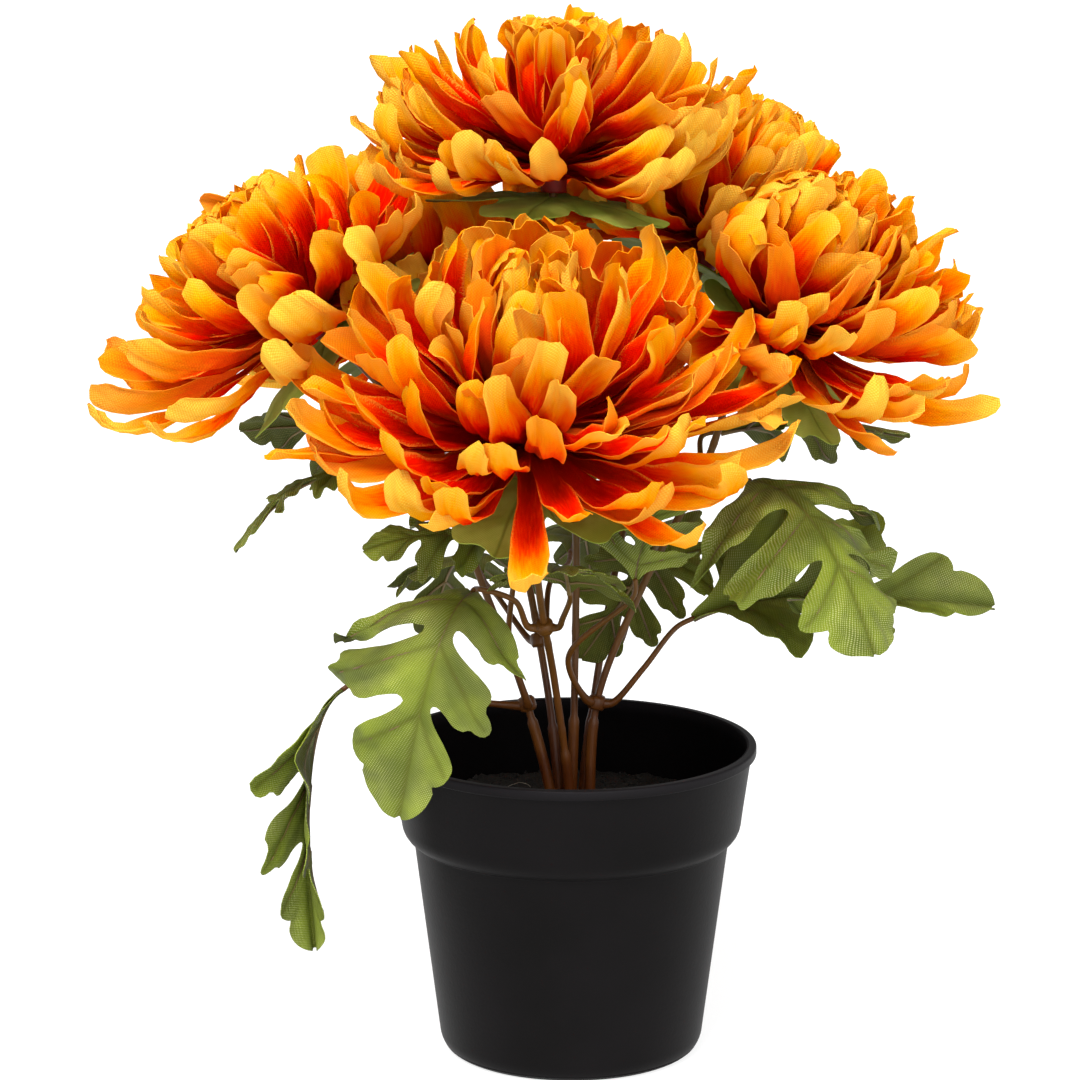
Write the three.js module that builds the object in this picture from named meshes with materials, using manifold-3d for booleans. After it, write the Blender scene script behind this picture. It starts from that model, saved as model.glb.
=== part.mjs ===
// A pot chrysanthemum with fabric blooms and leaves on plastic stems, standing in a black grower's pot.
// Lengths are in millimetres, +Z is up and the origin is the centre of the pot's foot.
// Headings are degrees anticlockwise from +X seen from above, so 270 points along -Y, to the front.
import * as THREE from "three";
import { mergeVertices } from "three/addons/utils/BufferGeometryUtils.js";
import Module from "manifold-3d";

const wasm = await Module();
wasm.setup();

// ---- Driving dimensions ----------------------------------------------------------------------

const GAP = 0.35; // clearance between pieces that touch

const POT = {
  height: 102,
  rimRadius: 60,
  lipHeight: 3.4,
  lipProud: 1.5,
  bandHeight: 29, // from the rim down to the step
  bandFootRadius: 54.8,
  stepHeight: 3,
  neckRadius: 51.2,
  footRadius: 40,
  footBevel: 3,
  wallFootRadius: 42.4,
  wall: 1.8,
  floor: 2,
  segments: 30,
};

const SOIL = { level: 80, edgeDrop: 1.4, bump: 1.6, segments: 18 };

const STEM = {
  radius: 1.3,
  sides: 6,
  steps: 12,
  socketRadius: 2,
  socketSteps: 4,
  footHeight: 44,
  spacing: 6.2, // from the middle stem to the five round it, at the soil
  holeRadius: 3,
  intoBloom: 5,
};

const COLLAR = { radius: 3, bore: 1.9, height: 4, sides: 6, petiole: 1, petioleSides: 5, petioleSteps: 5 };

// Half of a leaf's edge in three lobes from root to tip: how far along the midrib the lobe's vein
// starts, then the points of its edge as how far along the midrib and how far out to the side. All
// are shares of the leaf's length, and the last point of each lobe is the notch before the next.
const LEAF_LOBES = [
  { vein: 0.14, edge: [[0.02, 0.03], [0.11, 0.09], [0.2, 0.27], [0.28, 0.3], [0.35, 0.34], [0.37, 0.22], [0.31, 0.06]] },
  { vein: 0.37, edge: [[0.4, 0.13], [0.48, 0.26], [0.59, 0.31], [0.64, 0.22], [0.58, 0.055]] },
  { vein: 0.66, edge: [[0.68, 0.11], [0.77, 0.168], [0.85, 0.13], [0.93, 0.105], [0.985, 0.045]] },
];
// Each half of a leaf bends down along an arc that turns by its droop over the leaf's length, and its
// lobes hang below that.
const LEAF = { thickness: 0.9, ripple: 0.014, droop: [1.4, 1.4], hang: 0.5 };

const ROSETTE = { radius: 42, hole: 2, lobes: 5, thickness: 0.9, below: 1.2, droop: 4 };

const CORE = {
  profile: [[0, 0], [5, 0], [7, 8], [11.5, 14], [12, 25], [7.5, 35], [0, 38]],
  segments: 8,
  bore: 1.8,
};

// Petal layers from the outermost in: how many, height of the root on the core, angle of the root
// from the bloom's axis, how far the petal curls in along its length, length and width.
const LAYERS = [
  { count: 9, root: 11, angle: 97, curl: 48, length: 79, width: 14 },
  { count: 7, root: 13.5, angle: 80, curl: 50, length: 69, width: 15 },
  { count: 6, root: 16, angle: 61, curl: 50, length: 57, width: 15 },
  { count: 5, root: 18.5, angle: 41, curl: 44, length: 47, width: 15 },
  { count: 3, root: 21, angle: 20, curl: 30, length: 39, width: 14 },
];
const PETAL = { rootRadius: 3, thickness: 0.9, stations: [0, 0.46, 0.875], cup: 0.4, clear: 2.2 };
const BLOOM_MIDDLE = 36; // height on its axis of the middle of a bloom

// Each bloom: foot of its core, tilt of its axis from upright and the heading it tilts to, how much
// wider than the layers say its petals open, its size, the room it takes from its neighbours and the
// height that no petal passes. Its stem stands at the middle of the soil or at a heading round it,
// in a socket up to a height, and runs through the points of its route to the bloom.
const BLOOMS = [
  { name: "top", foot: [-6, 5, 281], tilt: 4, heading: 60, open: -8, size: 0.93, room: 1,
    crown: 344, soil: null, socketTop: 110, route: [[1, 2, 120], [1, 5, 190], [-4, 4.8, 246]] },
  { name: "front", foot: [-14, -55, 202], tilt: 20, heading: 272, open: 2, size: 1.08, room: 1.5,
    crown: 282, soil: 270, socketTop: 101, route: [[-5.5, -11, 125], [-9.6, -26, 152], [-13, -46, 183]] },
  { name: "left", foot: [-78, -5, 238], tilt: 45, heading: 184, open: 4, size: 1.08, room: 1,
    crown: 301, soil: 198, socketTop: 110, route: [[-14.4, 0, 115], [-27, 0, 150], [-48, -3, 203]] },
  { name: "right", foot: [59, -5, 234], tilt: 34, heading: 335, open: 4, size: 1, room: 1.1,
    crown: 293, soil: 342, socketTop: 110, route: [[8.2, 0, 115.5], [22, 0, 152], [44, 0, 197]] },
  { name: "right_rear", foot: [43, 53, 249], tilt: 30, heading: 35, open: 2, size: 1, room: 0.95,
    crown: 314, soil: 54, socketTop: 108, route: [[8, 12, 118], [20, 32, 180], [31, 44, 218]] },
  { name: "left_rear", foot: [-43, 51, 233], tilt: 32, heading: 140, open: 2, size: 1, room: 0.95,
    crown: 297, soil: 126, socketTop: 106, route: [[-8, 13, 118], [-20, 33, 174], [-32, 43, 206]] },
];

// The collars that carry the leaves: on which stem and how high, then for each leaf the point its
// stalk passes on the way, its root, the point its midrib is drawn towards, its tip, which way its
// upper face looks and how far its halves fold up. Some leaves fold otherwise at the first lobes and
// the tip (folds), and their left and right halves may differ in droop and be wider than others.
const COLLARS = [
  { name: "left_low", stem: "left", height: 115, leaves: [
    { name: "far_left", by: [-45, -2, 118], root: [-74, -4, 120.5], over: [-90, -8, 112],
      tip: [-83.5, -6, 33.5], face: [-0.2, -0.97, 0.1], fold: 74, folds: [95, 80, 62],
      droop: [0.3, 0.3], wide: [1.0, 1.0] },
    { name: "left_lobes", by: [-20, -10, 138], root: [-24, -29, 173.6], over: [-42, -37, 183.6],
      tip: [-66, -35, 173.6], face: [0, -0.4, 0.9], fold: 6, wide: [1.2, 1.4] },
  ] },
  { name: "right_low", stem: "right", height: 115.5, leaves: [
    { name: "dark", by: [-1, -9, 133], root: [20, -22, 161], over: [21, -28, 176],
      tip: [31, -38, 197], face: [0, -0.9, 0.3], fold: 8, wide: [1.25, 1.25] },
    { name: "far_right", by: [23, -2, 127], root: [39, -1, 143.5], over: [62, 0, 156],
      tip: [137, 6, 145.5], face: [-0.1, -0.6, 0.8], fold: 38, wide: [0.95, 0.85], droop: [1.0, 0.3] },
  ] },
  { name: "front", stem: "front", height: 146, leaves: [
    { name: "front_left", by: [-18, -30, 156], root: [-31, -45, 163], over: [-42, -92, 170],
      tip: [-54, -74, 97], face: [-0.1, -0.75, 0.65], fold: 4, droop: [2.2, 2.2], wide: [0.8, 1.45] },
    { name: "middle", by: [-3, -28, 150], root: [-1, -38, 161], over: [-2, -58, 178],
      tip: [-7, -90, 179], face: [0.1, 0, 1], fold: 8, wide: [1.2, 1.2] },
  ] },
  { name: "right_high", stem: "right", height: 182, leaves: [
    { name: "right_hanging", by: [46, -8, 190], root: [56, -16, 192], over: [76, -44, 199],
      tip: [94, -62, 146], face: [0.3, -0.4, 0.85], fold: 2, droop: [1.6, 2.2], wide: [1.6, 1.5] },
    { name: "right_flat", by: [41, 6, 193], root: [48, 14, 202], over: [74, 12, 209],
      tip: [109, 10, 201], face: [0, 0.4, 0.92], fold: 6, wide: [1.2, 1.2] },
  ] },
  { name: "left_high", stem: "left", height: 180, leaves: [
    { name: "left_narrow", by: [-52, 0, 186], root: [-66, 2, 191], over: [-90, 2, 194],
      tip: [-108, -4, 166], face: [-0.4, 0, 0.9], fold: 12 },
    { name: "left_back", by: [-42, 10, 184], root: [-48, 24, 194], over: [-76, 24, 206],
      tip: [-108, 26, 200], face: [-0.1, 0.6, 0.8], fold: 8, wide: [1.25, 1.25] },
  ] },
  { name: "right_rear", stem: "right_rear", height: 130, leaves: [
    { name: "inner_right", by: [17, 14, 146], root: [28, 12, 166], over: [23, 10, 156],
      tip: [3, 10.7, 127], face: [0, 1, 0.05], fold: 2, droop: [0.5, 0.5], wide: [1.2, 1.2] },
    { name: "rear_right", by: [20, 20, 144], root: [25, 22, 151], over: [48, 26, 176],
      tip: [76, 28, 138], face: [0, -0.5, 0.85], fold: 8 },
  ] },
  { name: "left_rear", stem: "left_rear", height: 132, leaves: [
    { name: "rear_left", by: [-24, 36, 142], root: [-30, 54, 146], over: [-40, 86, 158],
      tip: [-48, 104, 112], face: [-0.2, 0.3, 0.9], fold: 8 },
    { name: "rear", by: [-7, 38, 146], root: [0, 60, 152], over: [4, 98, 168],
      tip: [8, 118, 126], face: [0, 0.5, 0.85], fold: 8 },
  ] },
];

// ---- Meshes and solids -----------------------------------------------------------------------

const vector = (p) => new THREE.Vector3(...p);
const radians = THREE.MathUtils.degToRad;
const TAU = 2 * Math.PI;

// The same number between 0 and 1 for the same whole number, in every run.
function draw(n) {
  const x = Math.sin(n * 12.9898 + 4.137) * 43758.5453;
  return x - Math.floor(x);
}

function meshSolid(points, triangles) {
  return new wasm.Manifold(
    new wasm.Mesh({
      numProp: 3,
      vertProperties: new Float32Array(points.flatMap((p) => p.toArray())),
      triVerts: new Uint32Array(triangles.flat()),
    }),
  );
}

function geometrySolid(geometry) {
  const bare = geometry.index ? geometry.toNonIndexed() : geometry.clone();
  bare.deleteAttribute("normal");
  bare.deleteAttribute("uv");
  const merged = mergeVertices(bare, 1e-4);
  return new wasm.Manifold(
    new wasm.Mesh({
      numProp: 3,
      vertProperties: new Float32Array(merged.attributes.position.array),
      triVerts: new Uint32Array(merged.index.array),
    }),
  );
}

// The largest body of a solid, so that no scrap left by a join stays loose.
function wholeBody(solid) {
  return solid.decompose().reduce((a, b) => (b.volume() > a.volume() ? b : a));
}

function solidGeometry(solid) {
  const mesh = solid.getMesh();
  const geometry = new THREE.BufferGeometry();
  geometry.setAttribute("position", new THREE.BufferAttribute(new Float32Array(mesh.vertProperties), 3));
  geometry.setIndex(new THREE.BufferAttribute(new Uint32Array(mesh.triVerts), 1));
  return geometry;
}

function latheGeometry(profile, segments) {
  const points = profile.map(([radius, height]) => new THREE.Vector2(radius, height));
  return new THREE.LatheGeometry(points, segments).rotateX(Math.PI / 2);
}

function cylinderGeometry(radius, height, sides) {
  return new THREE.CylinderGeometry(radius, radius, height, sides).rotateX(Math.PI / 2);
}

function regularShape(radius, sides) {
  const corners = Array.from({ length: sides }, (_, i) => {
    const turn = (TAU * i) / sides;
    return new THREE.Vector2(radius * Math.cos(turn), radius * Math.sin(turn));
  });
  return new THREE.Shape(corners);
}

function curveThrough(points) {
  return new THREE.CatmullRomCurve3(points, false, "centripetal");
}

function tubeSolid(points, radius, sides, steps) {
  const extrudePath = curveThrough(points);
  const shape = regularShape(radius, sides);
  return geometrySolid(new THREE.ExtrudeGeometry(shape, { extrudePath, steps, bevelEnabled: false }));
}

// A frame at a point whose Z runs along an axis, as the matrix that carries a geometry there.
function frameAt(point, axis) {
  return new THREE.Matrix4().makeBasis(...sidesOf(axis), axis).setPosition(point);
}

// Two directions square to an axis, the first as near to +X as it can be.
function sidesOf(axis) {
  const first = new THREE.Vector3(0, 1, 0).cross(axis).normalize();
  return [first, axis.clone().cross(first)];
}

// A sheet of triangles made solid: its points moved half the thickness up and down their own
// directions, joined round the edges that only one triangle has.
function sheetSolid({ points, ups, triangles }, thickness) {
  const shifted = (way) => points.map((p, i) => p.clone().addScaledVector(ups[i], (way * thickness) / 2));
  const count = points.length;
  const known = new Set(triangles.flatMap(([a, b, c]) => [`${a},${b}`, `${b},${c}`, `${c},${a}`]));
  const faces = [];
  triangles.forEach(([a, b, c]) => {
    faces.push([a, b, c], [a + count, c + count, b + count]);
    [[a, b], [b, c], [c, a]].forEach(([p, q]) => {
      if (known.has(`${q},${p}`)) return;
      faces.push([p, p + count, q], [q, p + count, q + count]);
    });
  });
  return meshSolid([...shifted(1), ...shifted(-1)], faces);
}

// Points no more than a spacing apart all over the triangles of a sheet.
function sheetSamples({ points, triangles }, spacing) {
  return triangles.flatMap(([a, b, c]) => {
    const [p, q, r] = [points[a], points[b], points[c]];
    const steps = Math.ceil(Math.max(p.distanceTo(q), q.distanceTo(r), r.distanceTo(p)) / spacing);
    const samples = [];
    for (let i = 0; i <= steps; i++)
      for (let j = 0; j <= steps - i; j++) {
        const along = q.clone().sub(p).multiplyScalar(i / steps);
        samples.push(p.clone().add(along).addScaledVector(r.clone().sub(p), j / steps));
      }
    return samples;
  });
}

// ---- Pot and soil ----------------------------------------------------------------------------

// Radius of the pot's outside at a height between the step and the rim.
function bandRadius(height) {
  const foot = POT.height - POT.bandHeight;
  const share = (height - foot) / (POT.bandHeight - POT.lipHeight);
  return POT.bandFootRadius + share * (POT.rimRadius - POT.lipProud - POT.bandFootRadius);
}

function potSolid() {
  const bandFoot = POT.height - POT.bandHeight;
  const neck = bandFoot - POT.stepHeight;
  const lipFoot = POT.height - POT.lipHeight;
  const profile = [
    [0, 0],
    [POT.footRadius, 0],
    [POT.footRadius + 1.7, 0.9],
    [POT.wallFootRadius, POT.footBevel],
    [POT.neckRadius, neck],
    [POT.neckRadius + 2.3, neck + 1],
    [POT.bandFootRadius, bandFoot],
    [bandRadius(lipFoot), lipFoot],
    [POT.rimRadius, lipFoot + 0.9],
    [POT.rimRadius, POT.height - 0.9],
    [POT.rimRadius - 1, POT.height],
    [POT.rimRadius - POT.lipProud - POT.wall, POT.height],
    [POT.bandFootRadius - POT.wall, bandFoot + 0.6],
    [POT.neckRadius - POT.wall, neck],
    [POT.wallFootRadius - POT.wall, POT.floor],
    [0, POT.floor],
  ];
  return geometrySolid(latheGeometry(profile, POT.segments));
}

// Where each stem stands in the soil.
function soilPlaces() {
  return BLOOMS.map(({ soil }) => {
    if (soil === null) return [0, 0];
    return [STEM.spacing * Math.cos(radians(soil)), STEM.spacing * Math.sin(radians(soil))];
  });
}

function soilSolid() {
  const bandFoot = POT.height - POT.bandHeight;
  const neck = bandFoot - POT.stepHeight;
  const inside = (radius) => (radius - POT.wall) * Math.cos(Math.PI / POT.segments) - 1.2 * GAP;
  const edge = inside(bandRadius(SOIL.level));
  const plain = latheGeometry(
    [
      [0, POT.floor + GAP],
      [inside(POT.wallFootRadius), POT.floor + GAP],
      [inside(POT.neckRadius), neck],
      [inside(POT.bandFootRadius), bandFoot + 1],
      [edge, SOIL.level - SOIL.edgeDrop],
      [0.75 * edge, SOIL.level],
      [0.48 * edge, SOIL.level],
      [0, SOIL.level],
    ],
    SOIL.segments,
  );
  const place = plain.attributes.position;
  for (let i = 0; i < place.count; i++) {
    const reach = Math.hypot(place.getX(i), place.getY(i));
    if (place.getZ(i) < SOIL.level - 0.1 || reach < 0.3 * edge) continue;
    const spot = Math.round(place.getX(i)) * 31 + Math.round(place.getY(i)) * 17;
    place.setZ(i, SOIL.level - SOIL.bump * draw(spot));
  }
  const depth = SOIL.level - STEM.footHeight + 2;
  const holes = soilPlaces().map(([x, y]) =>
    geometrySolid(cylinderGeometry(STEM.holeRadius, 2 * depth, 8).translate(x, y, SOIL.level)),
  );
  return wholeBody(geometrySolid(plain).subtract(wasm.Manifold.union(holes)));
}

// ---- Stems -----------------------------------------------------------------------------------

// The direction a bloom faces.
function axisOf({ tilt, heading }) {
  const lean = Math.sin(radians(tilt));
  const turn = radians(heading);
  return new THREE.Vector3(lean * Math.cos(turn), lean * Math.sin(turn), Math.cos(radians(tilt)));
}

function stemPoints(bloom, index) {
  const [x, y] = soilPlaces()[index];
  const axis = axisOf(bloom);
  const foot = vector(bloom.foot);
  return [
    new THREE.Vector3(x, y, STEM.footHeight),
    new THREE.Vector3(x, y, 64),
    new THREE.Vector3(x, y, SOIL.level),
    ...bloom.route.map(vector),
    foot.clone().addScaledVector(axis, -14),
    foot.clone().addScaledVector(axis, STEM.intoBloom),
  ];
}

// Points close together along the straight lengths that a stem is made of.
const stemLines = BLOOMS.map((bloom, index) => {
  const bends = curveThrough(stemPoints(bloom, index)).getSpacedPoints(STEM.steps);
  return bends.flatMap((p, i) => {
    if (i === 0) return [p];
    return Array.from({ length: 8 }, (_, k) => bends[i - 1].clone().lerp(p, (k + 1) / 8));
  });
});

function stemSolid(bloom, index) {
  const wire = tubeSolid(stemPoints(bloom, index), STEM.radius, STEM.sides, STEM.steps);
  const low = stemLines[index].filter((p) => p.z <= bloom.socketTop);
  const route = low.filter((_, i) => i % 5 === 0 || i === low.length - 1);
  const socket = tubeSolid(route, STEM.socketRadius, STEM.sides, STEM.socketSteps);
  return wholeBody(wire.add(socket));
}

// ---- Leaves and their collars ----------------------------------------------------------------

const leafLength = ({ root, over, tip }) =>
  new THREE.QuadraticBezierCurve3(vector(root), vector(over), vector(tip)).getLength();

// A leaf's midrib at a share of its length: the place, the way along, the way to its left and up.
function midribAt({ root, over, tip, face }, share) {
  const curve = new THREE.QuadraticBezierCurve3(vector(root), vector(over), vector(tip));
  const inside = THREE.MathUtils.clamp(share, 0, 1);
  const place = curve.getPointAt(inside);
  const ahead = curve.getTangentAt(inside);
  const up = vector(face).projectOnPlane(ahead).normalize();
  return { place, ahead, left: up.clone().cross(ahead), up };
}

// A point of the blade: along the midrib, then out to one side along an arc that is folded up from
// the midrib, with the lobes hanging at their ends and the edge rippled.
function bladePoint(leaf, share, out) {
  const { place, left, up } = midribAt(leaf, share);
  const { folds = [leaf.fold, leaf.fold, leaf.fold], droop = LEAF.droop, wide = [1, 1] } = leaf;
  const { smoothstep } = THREE.MathUtils;
  const side = out > 0 ? 0 : 1;
  const [first, main, last] = folds;
  const towardsMain = (main - first) * smoothstep(share, 0.15, 0.38);
  const towardsLast = (last - main) * smoothstep(share, 0.55, 0.9);
  const fold = radians(first + towardsMain + towardsLast);
  const reach = Math.abs(out) * wide[side];
  const turn = droop[side] * reach;
  const flat = Math.sin(turn) / droop[side];
  const ripple = LEAF.ripple * Math.sin(14 * share + 4 * Math.sign(out)) * (reach / 0.3);
  const drop = (Math.cos(turn) - 1) / droop[side] - LEAF.hang * reach ** 2 + ripple;
  const aside = Math.sign(out) * (flat * Math.cos(fold) - drop * Math.sin(fold));
  const rise = flat * Math.sin(fold) + drop * Math.cos(fold);
  const length = leafLength(leaf);
  return place.addScaledVector(left, length * aside).addScaledVector(up, length * rise);
}

// The leaf as a sheet: the edge of each lobe fans out from the start of its vein on the midrib.
function leafSheet(leaf) {
  const ribs = [0, ...LEAF_LOBES.map(({ vein }) => vein), 1];
  const points = ribs.map((share) => bladePoint(leaf, share, 0));
  const ups = ribs.map((share) => midribAt(leaf, share).up);
  const triangles = [];
  [1, -1].forEach((hand) => {
    const corner = (a, b, c) => triangles.push(hand > 0 ? [a, b, c] : [a, c, b]);
    let last = 0;
    LEAF_LOBES.forEach(({ edge }, lobe) => {
      if (lobe > 0) corner(lobe, lobe + 1, last);
      edge.forEach(([share, out]) => {
        points.push(bladePoint(leaf, share, hand * out));
        ups.push(midribAt(leaf, share).up);
        corner(lobe + 1, points.length - 1, last);
        last = points.length - 1;
      });
    });
    corner(ribs.length - 2, ribs.length - 1, last);
  });
  return { points, ups, triangles };
}

// The point of a stem at a height, and the way it runs there.
function stemAt(name, height) {
  const line = stemLines[BLOOMS.findIndex((bloom) => bloom.name === name)];
  const i = line.findIndex((p) => p.z > height);
  const way = line[i].clone().sub(line[i - 1]);
  const place = line[i - 1].clone().addScaledVector(way, (height - line[i - 1].z) / way.z);
  return { place, way: way.normalize() };
}

function collarSolid({ stem, height, leaves }) {
  const { place, way } = stemAt(stem, height);
  const frame = frameAt(place, way);
  const round = (radius, length) =>
    geometrySolid(cylinderGeometry(radius, length, COLLAR.sides).applyMatrix4(frame));
  const ring = round(COLLAR.radius, COLLAR.height);
  const bore = round(COLLAR.bore, 3 * COLLAR.height);
  const stalks = leaves.map((leaf) => {
    const by = vector(leaf.by);
    const out = by.clone().sub(place).projectOnPlane(way).normalize();
    const ahead = midribAt(leaf, 0).ahead;
    const points = [
      place.clone().addScaledVector(out, (COLLAR.bore + COLLAR.radius) / 2),
      place.clone().addScaledVector(out, COLLAR.radius + 2).addScaledVector(way, 1),
      by,
      vector(leaf.root).addScaledVector(ahead, -6),
      vector(leaf.root).addScaledVector(ahead, -GAP),
    ];
    return tubeSolid(points, COLLAR.petiole, COLLAR.petioleSides, COLLAR.petioleSteps);
  });
  return wholeBody(wasm.Manifold.union([ring, ...stalks]).subtract(bore));
}

// ---- Rosettes --------------------------------------------------------------------------------

// How far a rosette lies below its middle at a distance from the stem.
const rosetteDrop = (reach) => ROSETTE.droop * (reach / ROSETTE.radius) ** 2;

// The green ring of lobes under a bloom, as a sheet: three edge points to each point of the hole.
function rosetteSheet(bloom, index) {
  const axis = axisOf(bloom);
  const middle = vector(bloom.foot).addScaledVector(axis, -ROSETTE.below - ROSETTE.thickness / 2);
  const frame = frameAt(middle, axis);
  const inner = 2 * ROSETTE.lobes;
  const points = [];
  const ringPoint = (reach, turn) => {
    const flat = new THREE.Vector3(reach * Math.cos(turn), reach * Math.sin(turn), 0);
    return flat.setZ(-rosetteDrop(reach)).applyMatrix4(frame);
  };
  for (let i = 0; i < inner; i++) points.push(ringPoint(ROSETTE.hole, (TAU * i) / inner));
  const outline = [1, 0.9, 0.62, 0.84, 0.92, 0.42];
  for (let i = 0; i < 3 * inner; i++) {
    const reach = ROSETTE.radius * outline[i % 6] * (0.94 + 0.06 * draw(90 + 10 * index + Math.floor(i / 6)));
    points.push(ringPoint(reach, (TAU * (i + 1)) / (3 * inner)));
  }
  const triangles = [];
  for (let i = 0; i < inner; i++) {
    const edge = (k) => inner + ((3 * i + k + 3 * inner) % (3 * inner));
    triangles.push([i, edge(-2), edge(-1)], [i, edge(-1), edge(0)], [i, edge(0), edge(1)]);
    triangles.push([i, edge(1), (i + 1) % inner]);
  }
  return { points, ups: points.map(() => axis), triangles };
}

// ---- Blooms ----------------------------------------------------------------------------------

// How wide a petal is at a share of its length, as a share of its full width.
function petalWidth(share, pointed) {
  const rising = THREE.MathUtils.smoothstep(share, 0, 0.68);
  const past = THREE.MathUtils.clamp((share - 0.7) / 0.3, 0, 1);
  return (0.4 + 0.6 * rising) * Math.pow(1 - past ** 2.4, pointed ? 0.9 : 0.5);
}

// A petal's midline in its bloom's frame: where it is at each share of its length, and which way its
// inner face looks.
function petalStations({ angle, curl, length, root, turn, sway }, shares) {
  const [x, y] = [Math.cos(turn), Math.sin(turn)];
  const steps = 24;
  const stations = [];
  let reach = PETAL.rootRadius;
  let rise = root;
  for (let i = 0; i <= steps; i++) {
    const share = i / steps;
    const lean = radians(angle - curl * share ** 1.5);
    const side = sway * length * share ** 2;
    stations.push({
      share,
      place: new THREE.Vector3(x * reach - y * side, y * reach + x * side, rise),
      inward: new THREE.Vector3(-x * Math.cos(lean), -y * Math.cos(lean), Math.sin(lean)),
      across: new THREE.Vector3(-y, x, 0),
    });
    reach += (length / steps) * Math.sin(lean);
    rise += (length / steps) * Math.cos(lean);
  }
  return shares.map((share) => stations[Math.round(share * steps)]);
}

// A thin cupped blade with four corners at each station and one at the tip.
function petalSolid(petal, frame) {
  const stations = petalStations(petal, PETAL.stations);
  const points = stations.flatMap(({ share, place, inward, across }) => {
    const half = (petal.width / 2) * petalWidth(share, petal.pointed);
    const at = (side, up) => place.clone().addScaledVector(across, side).addScaledVector(inward, up);
    const lift = PETAL.cup * half;
    return [at(-half, lift), at(0, PETAL.thickness / 2), at(half, lift), at(0, -PETAL.thickness / 2)];
  });
  points.push(petalStations(petal, [1])[0].place);
  const triangles = [[0, 1, 2], [0, 2, 3]];
  for (let i = 0; i < stations.length - 1; i++)
    for (let k = 0; k < 4; k++) {
      const [a, b] = [4 * i + k, 4 * i + ((k + 1) % 4)];
      triangles.push([a, a + 4, b], [b, a + 4, b + 4]);
    }
  const last = points.length - 5;
  for (let k = 0; k < 4; k++) triangles.push([last + k, last + 4, last + ((k + 1) % 4)]);
  return meshSolid(points.map((p) => p.applyMatrix4(frame)), triangles);
}

// What a bloom's petals bend clear of: planes between it and the other blooms, and the stems,
// rosettes and leaves near by, as points with a clearance.
function neighboursOf(bloom, sheets) {
  const middleOf = (one) => vector(one.foot).addScaledVector(axisOf(one), BLOOM_MIDDLE);
  const middle = middleOf(bloom);
  const others = BLOOMS.filter((other) => other !== bloom);
  const planes = others.map((other) => {
    const across = middleOf(other).sub(middle);
    const share = bloom.room / (bloom.room + other.room);
    return { normal: across.clone().normalize(), limit: across.length() * share - PETAL.clear };
  });
  const stems = BLOOMS.flatMap((other, index) => (other === bloom ? [] : stemLines[index]));
  const cloth = sheets.filter(({ of }) => of !== bloom.name).flatMap((sheet) => sheetSamples(sheet, 4));
  const points = [...stems, ...cloth].filter((p) => p.distanceTo(middle) < 110);
  return { middle, planes, points, crown: bloom.crown };
}

function isClear(petal, frame, { middle, planes, points, crown }) {
  const shares = [0.21, 0.29, 0.375, 0.46, 0.54, 0.625, 0.71, 0.79, 0.875, 1];
  return petalStations(petal, shares).every(({ share, place, across }) => {
    const half = (petal.width / 2) * petalWidth(share, petal.pointed);
    return [-half, 0, half].every((side) => {
      const local = place.clone().addScaledVector(across, side);
      if (local.z < 1.5 - rosetteDrop(Math.hypot(local.x, local.y))) return false;
      const point = local.applyMatrix4(frame);
      const from = point.clone().sub(middle);
      if (point.z > crown) return false;
      if (planes.some(({ normal, limit }) => from.dot(normal) > limit)) return false;
      return points.every((other) => other.distanceToSquared(point) > 19);
    });
  });
}

// Bends a petal up until it is clear of its neighbours, shorter the further it bends; null if it
// never is clear.
function bentClear(petal, frame, neighbours) {
  for (const shorter of [1, 0.85, 0.7, 0.55])
    for (let bend = 0; petal.angle - bend > -6; bend += 4) {
      const length = petal.length * shorter * (1 - bend / 220);
      const tried = { ...petal, angle: petal.angle - bend, length };
      tried.curl = Math.min(petal.curl, tried.angle + 22);
      if (isClear(tried, frame, neighbours)) return tried;
    }
  return null;
}

function bloomSolid(bloom, index, sheets) {
  const frame = frameAt(vector(bloom.foot), axisOf(bloom));
  const neighbours = neighboursOf(bloom, sheets);
  const petals = LAYERS.flatMap((layer, level) =>
    Array.from({ length: layer.count }, (_, i) => {
      const seed = 1000 * index + 50 * level + i;
      return {
        angle: layer.angle + bloom.open + 8 * (draw(seed) - 0.5),
        curl: layer.curl + 14 * (draw(seed + 7) - 0.5),
        length: layer.length * bloom.size * (0.93 + 0.14 * draw(seed + 13)),
        width: layer.width * bloom.size * (0.9 + 0.2 * draw(seed + 19)),
        root: layer.root,
        turn: (TAU * (i + 0.5 * (level % 2) + 0.25 * (draw(seed + 29) - 0.5))) / layer.count,
        sway: 0.12 * (draw(seed + 37) - 0.5),
        pointed: draw(seed + 43) < 0.35,
      };
    }),
  );
  const blades = petals
    .map((petal) => bentClear(petal, frame, neighbours))
    .filter(Boolean)
    .map((petal) => petalSolid(petal, frame));
  const core = geometrySolid(latheGeometry(CORE.profile, CORE.segments).applyMatrix4(frame));
  const bore = geometrySolid(cylinderGeometry(CORE.bore, 2 * (STEM.intoBloom + GAP), 8).applyMatrix4(frame));
  return wholeBody(wasm.Manifold.union([core, ...blades]).subtract(bore));
}

// ---- The whole plant -------------------------------------------------------------------------

const FINISHES = {
  pot: new THREE.MeshStandardMaterial({ color: 0x1c1b1c, roughness: 0.42, metalness: 0 }),
  soil: new THREE.MeshStandardMaterial({ color: 0x15120f, roughness: 0.95, metalness: 0 }),
  stem: new THREE.MeshStandardMaterial({ color: 0x5f4126, roughness: 0.5, metalness: 0 }),
  leaf: new THREE.MeshStandardMaterial({ color: 0x6f8d3c, roughness: 0.8, metalness: 0 }),
  petal: new THREE.MeshStandardMaterial({ color: 0xf08a1c, roughness: 0.75, metalness: 0 }),
};

const plant = new THREE.Group();

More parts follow.
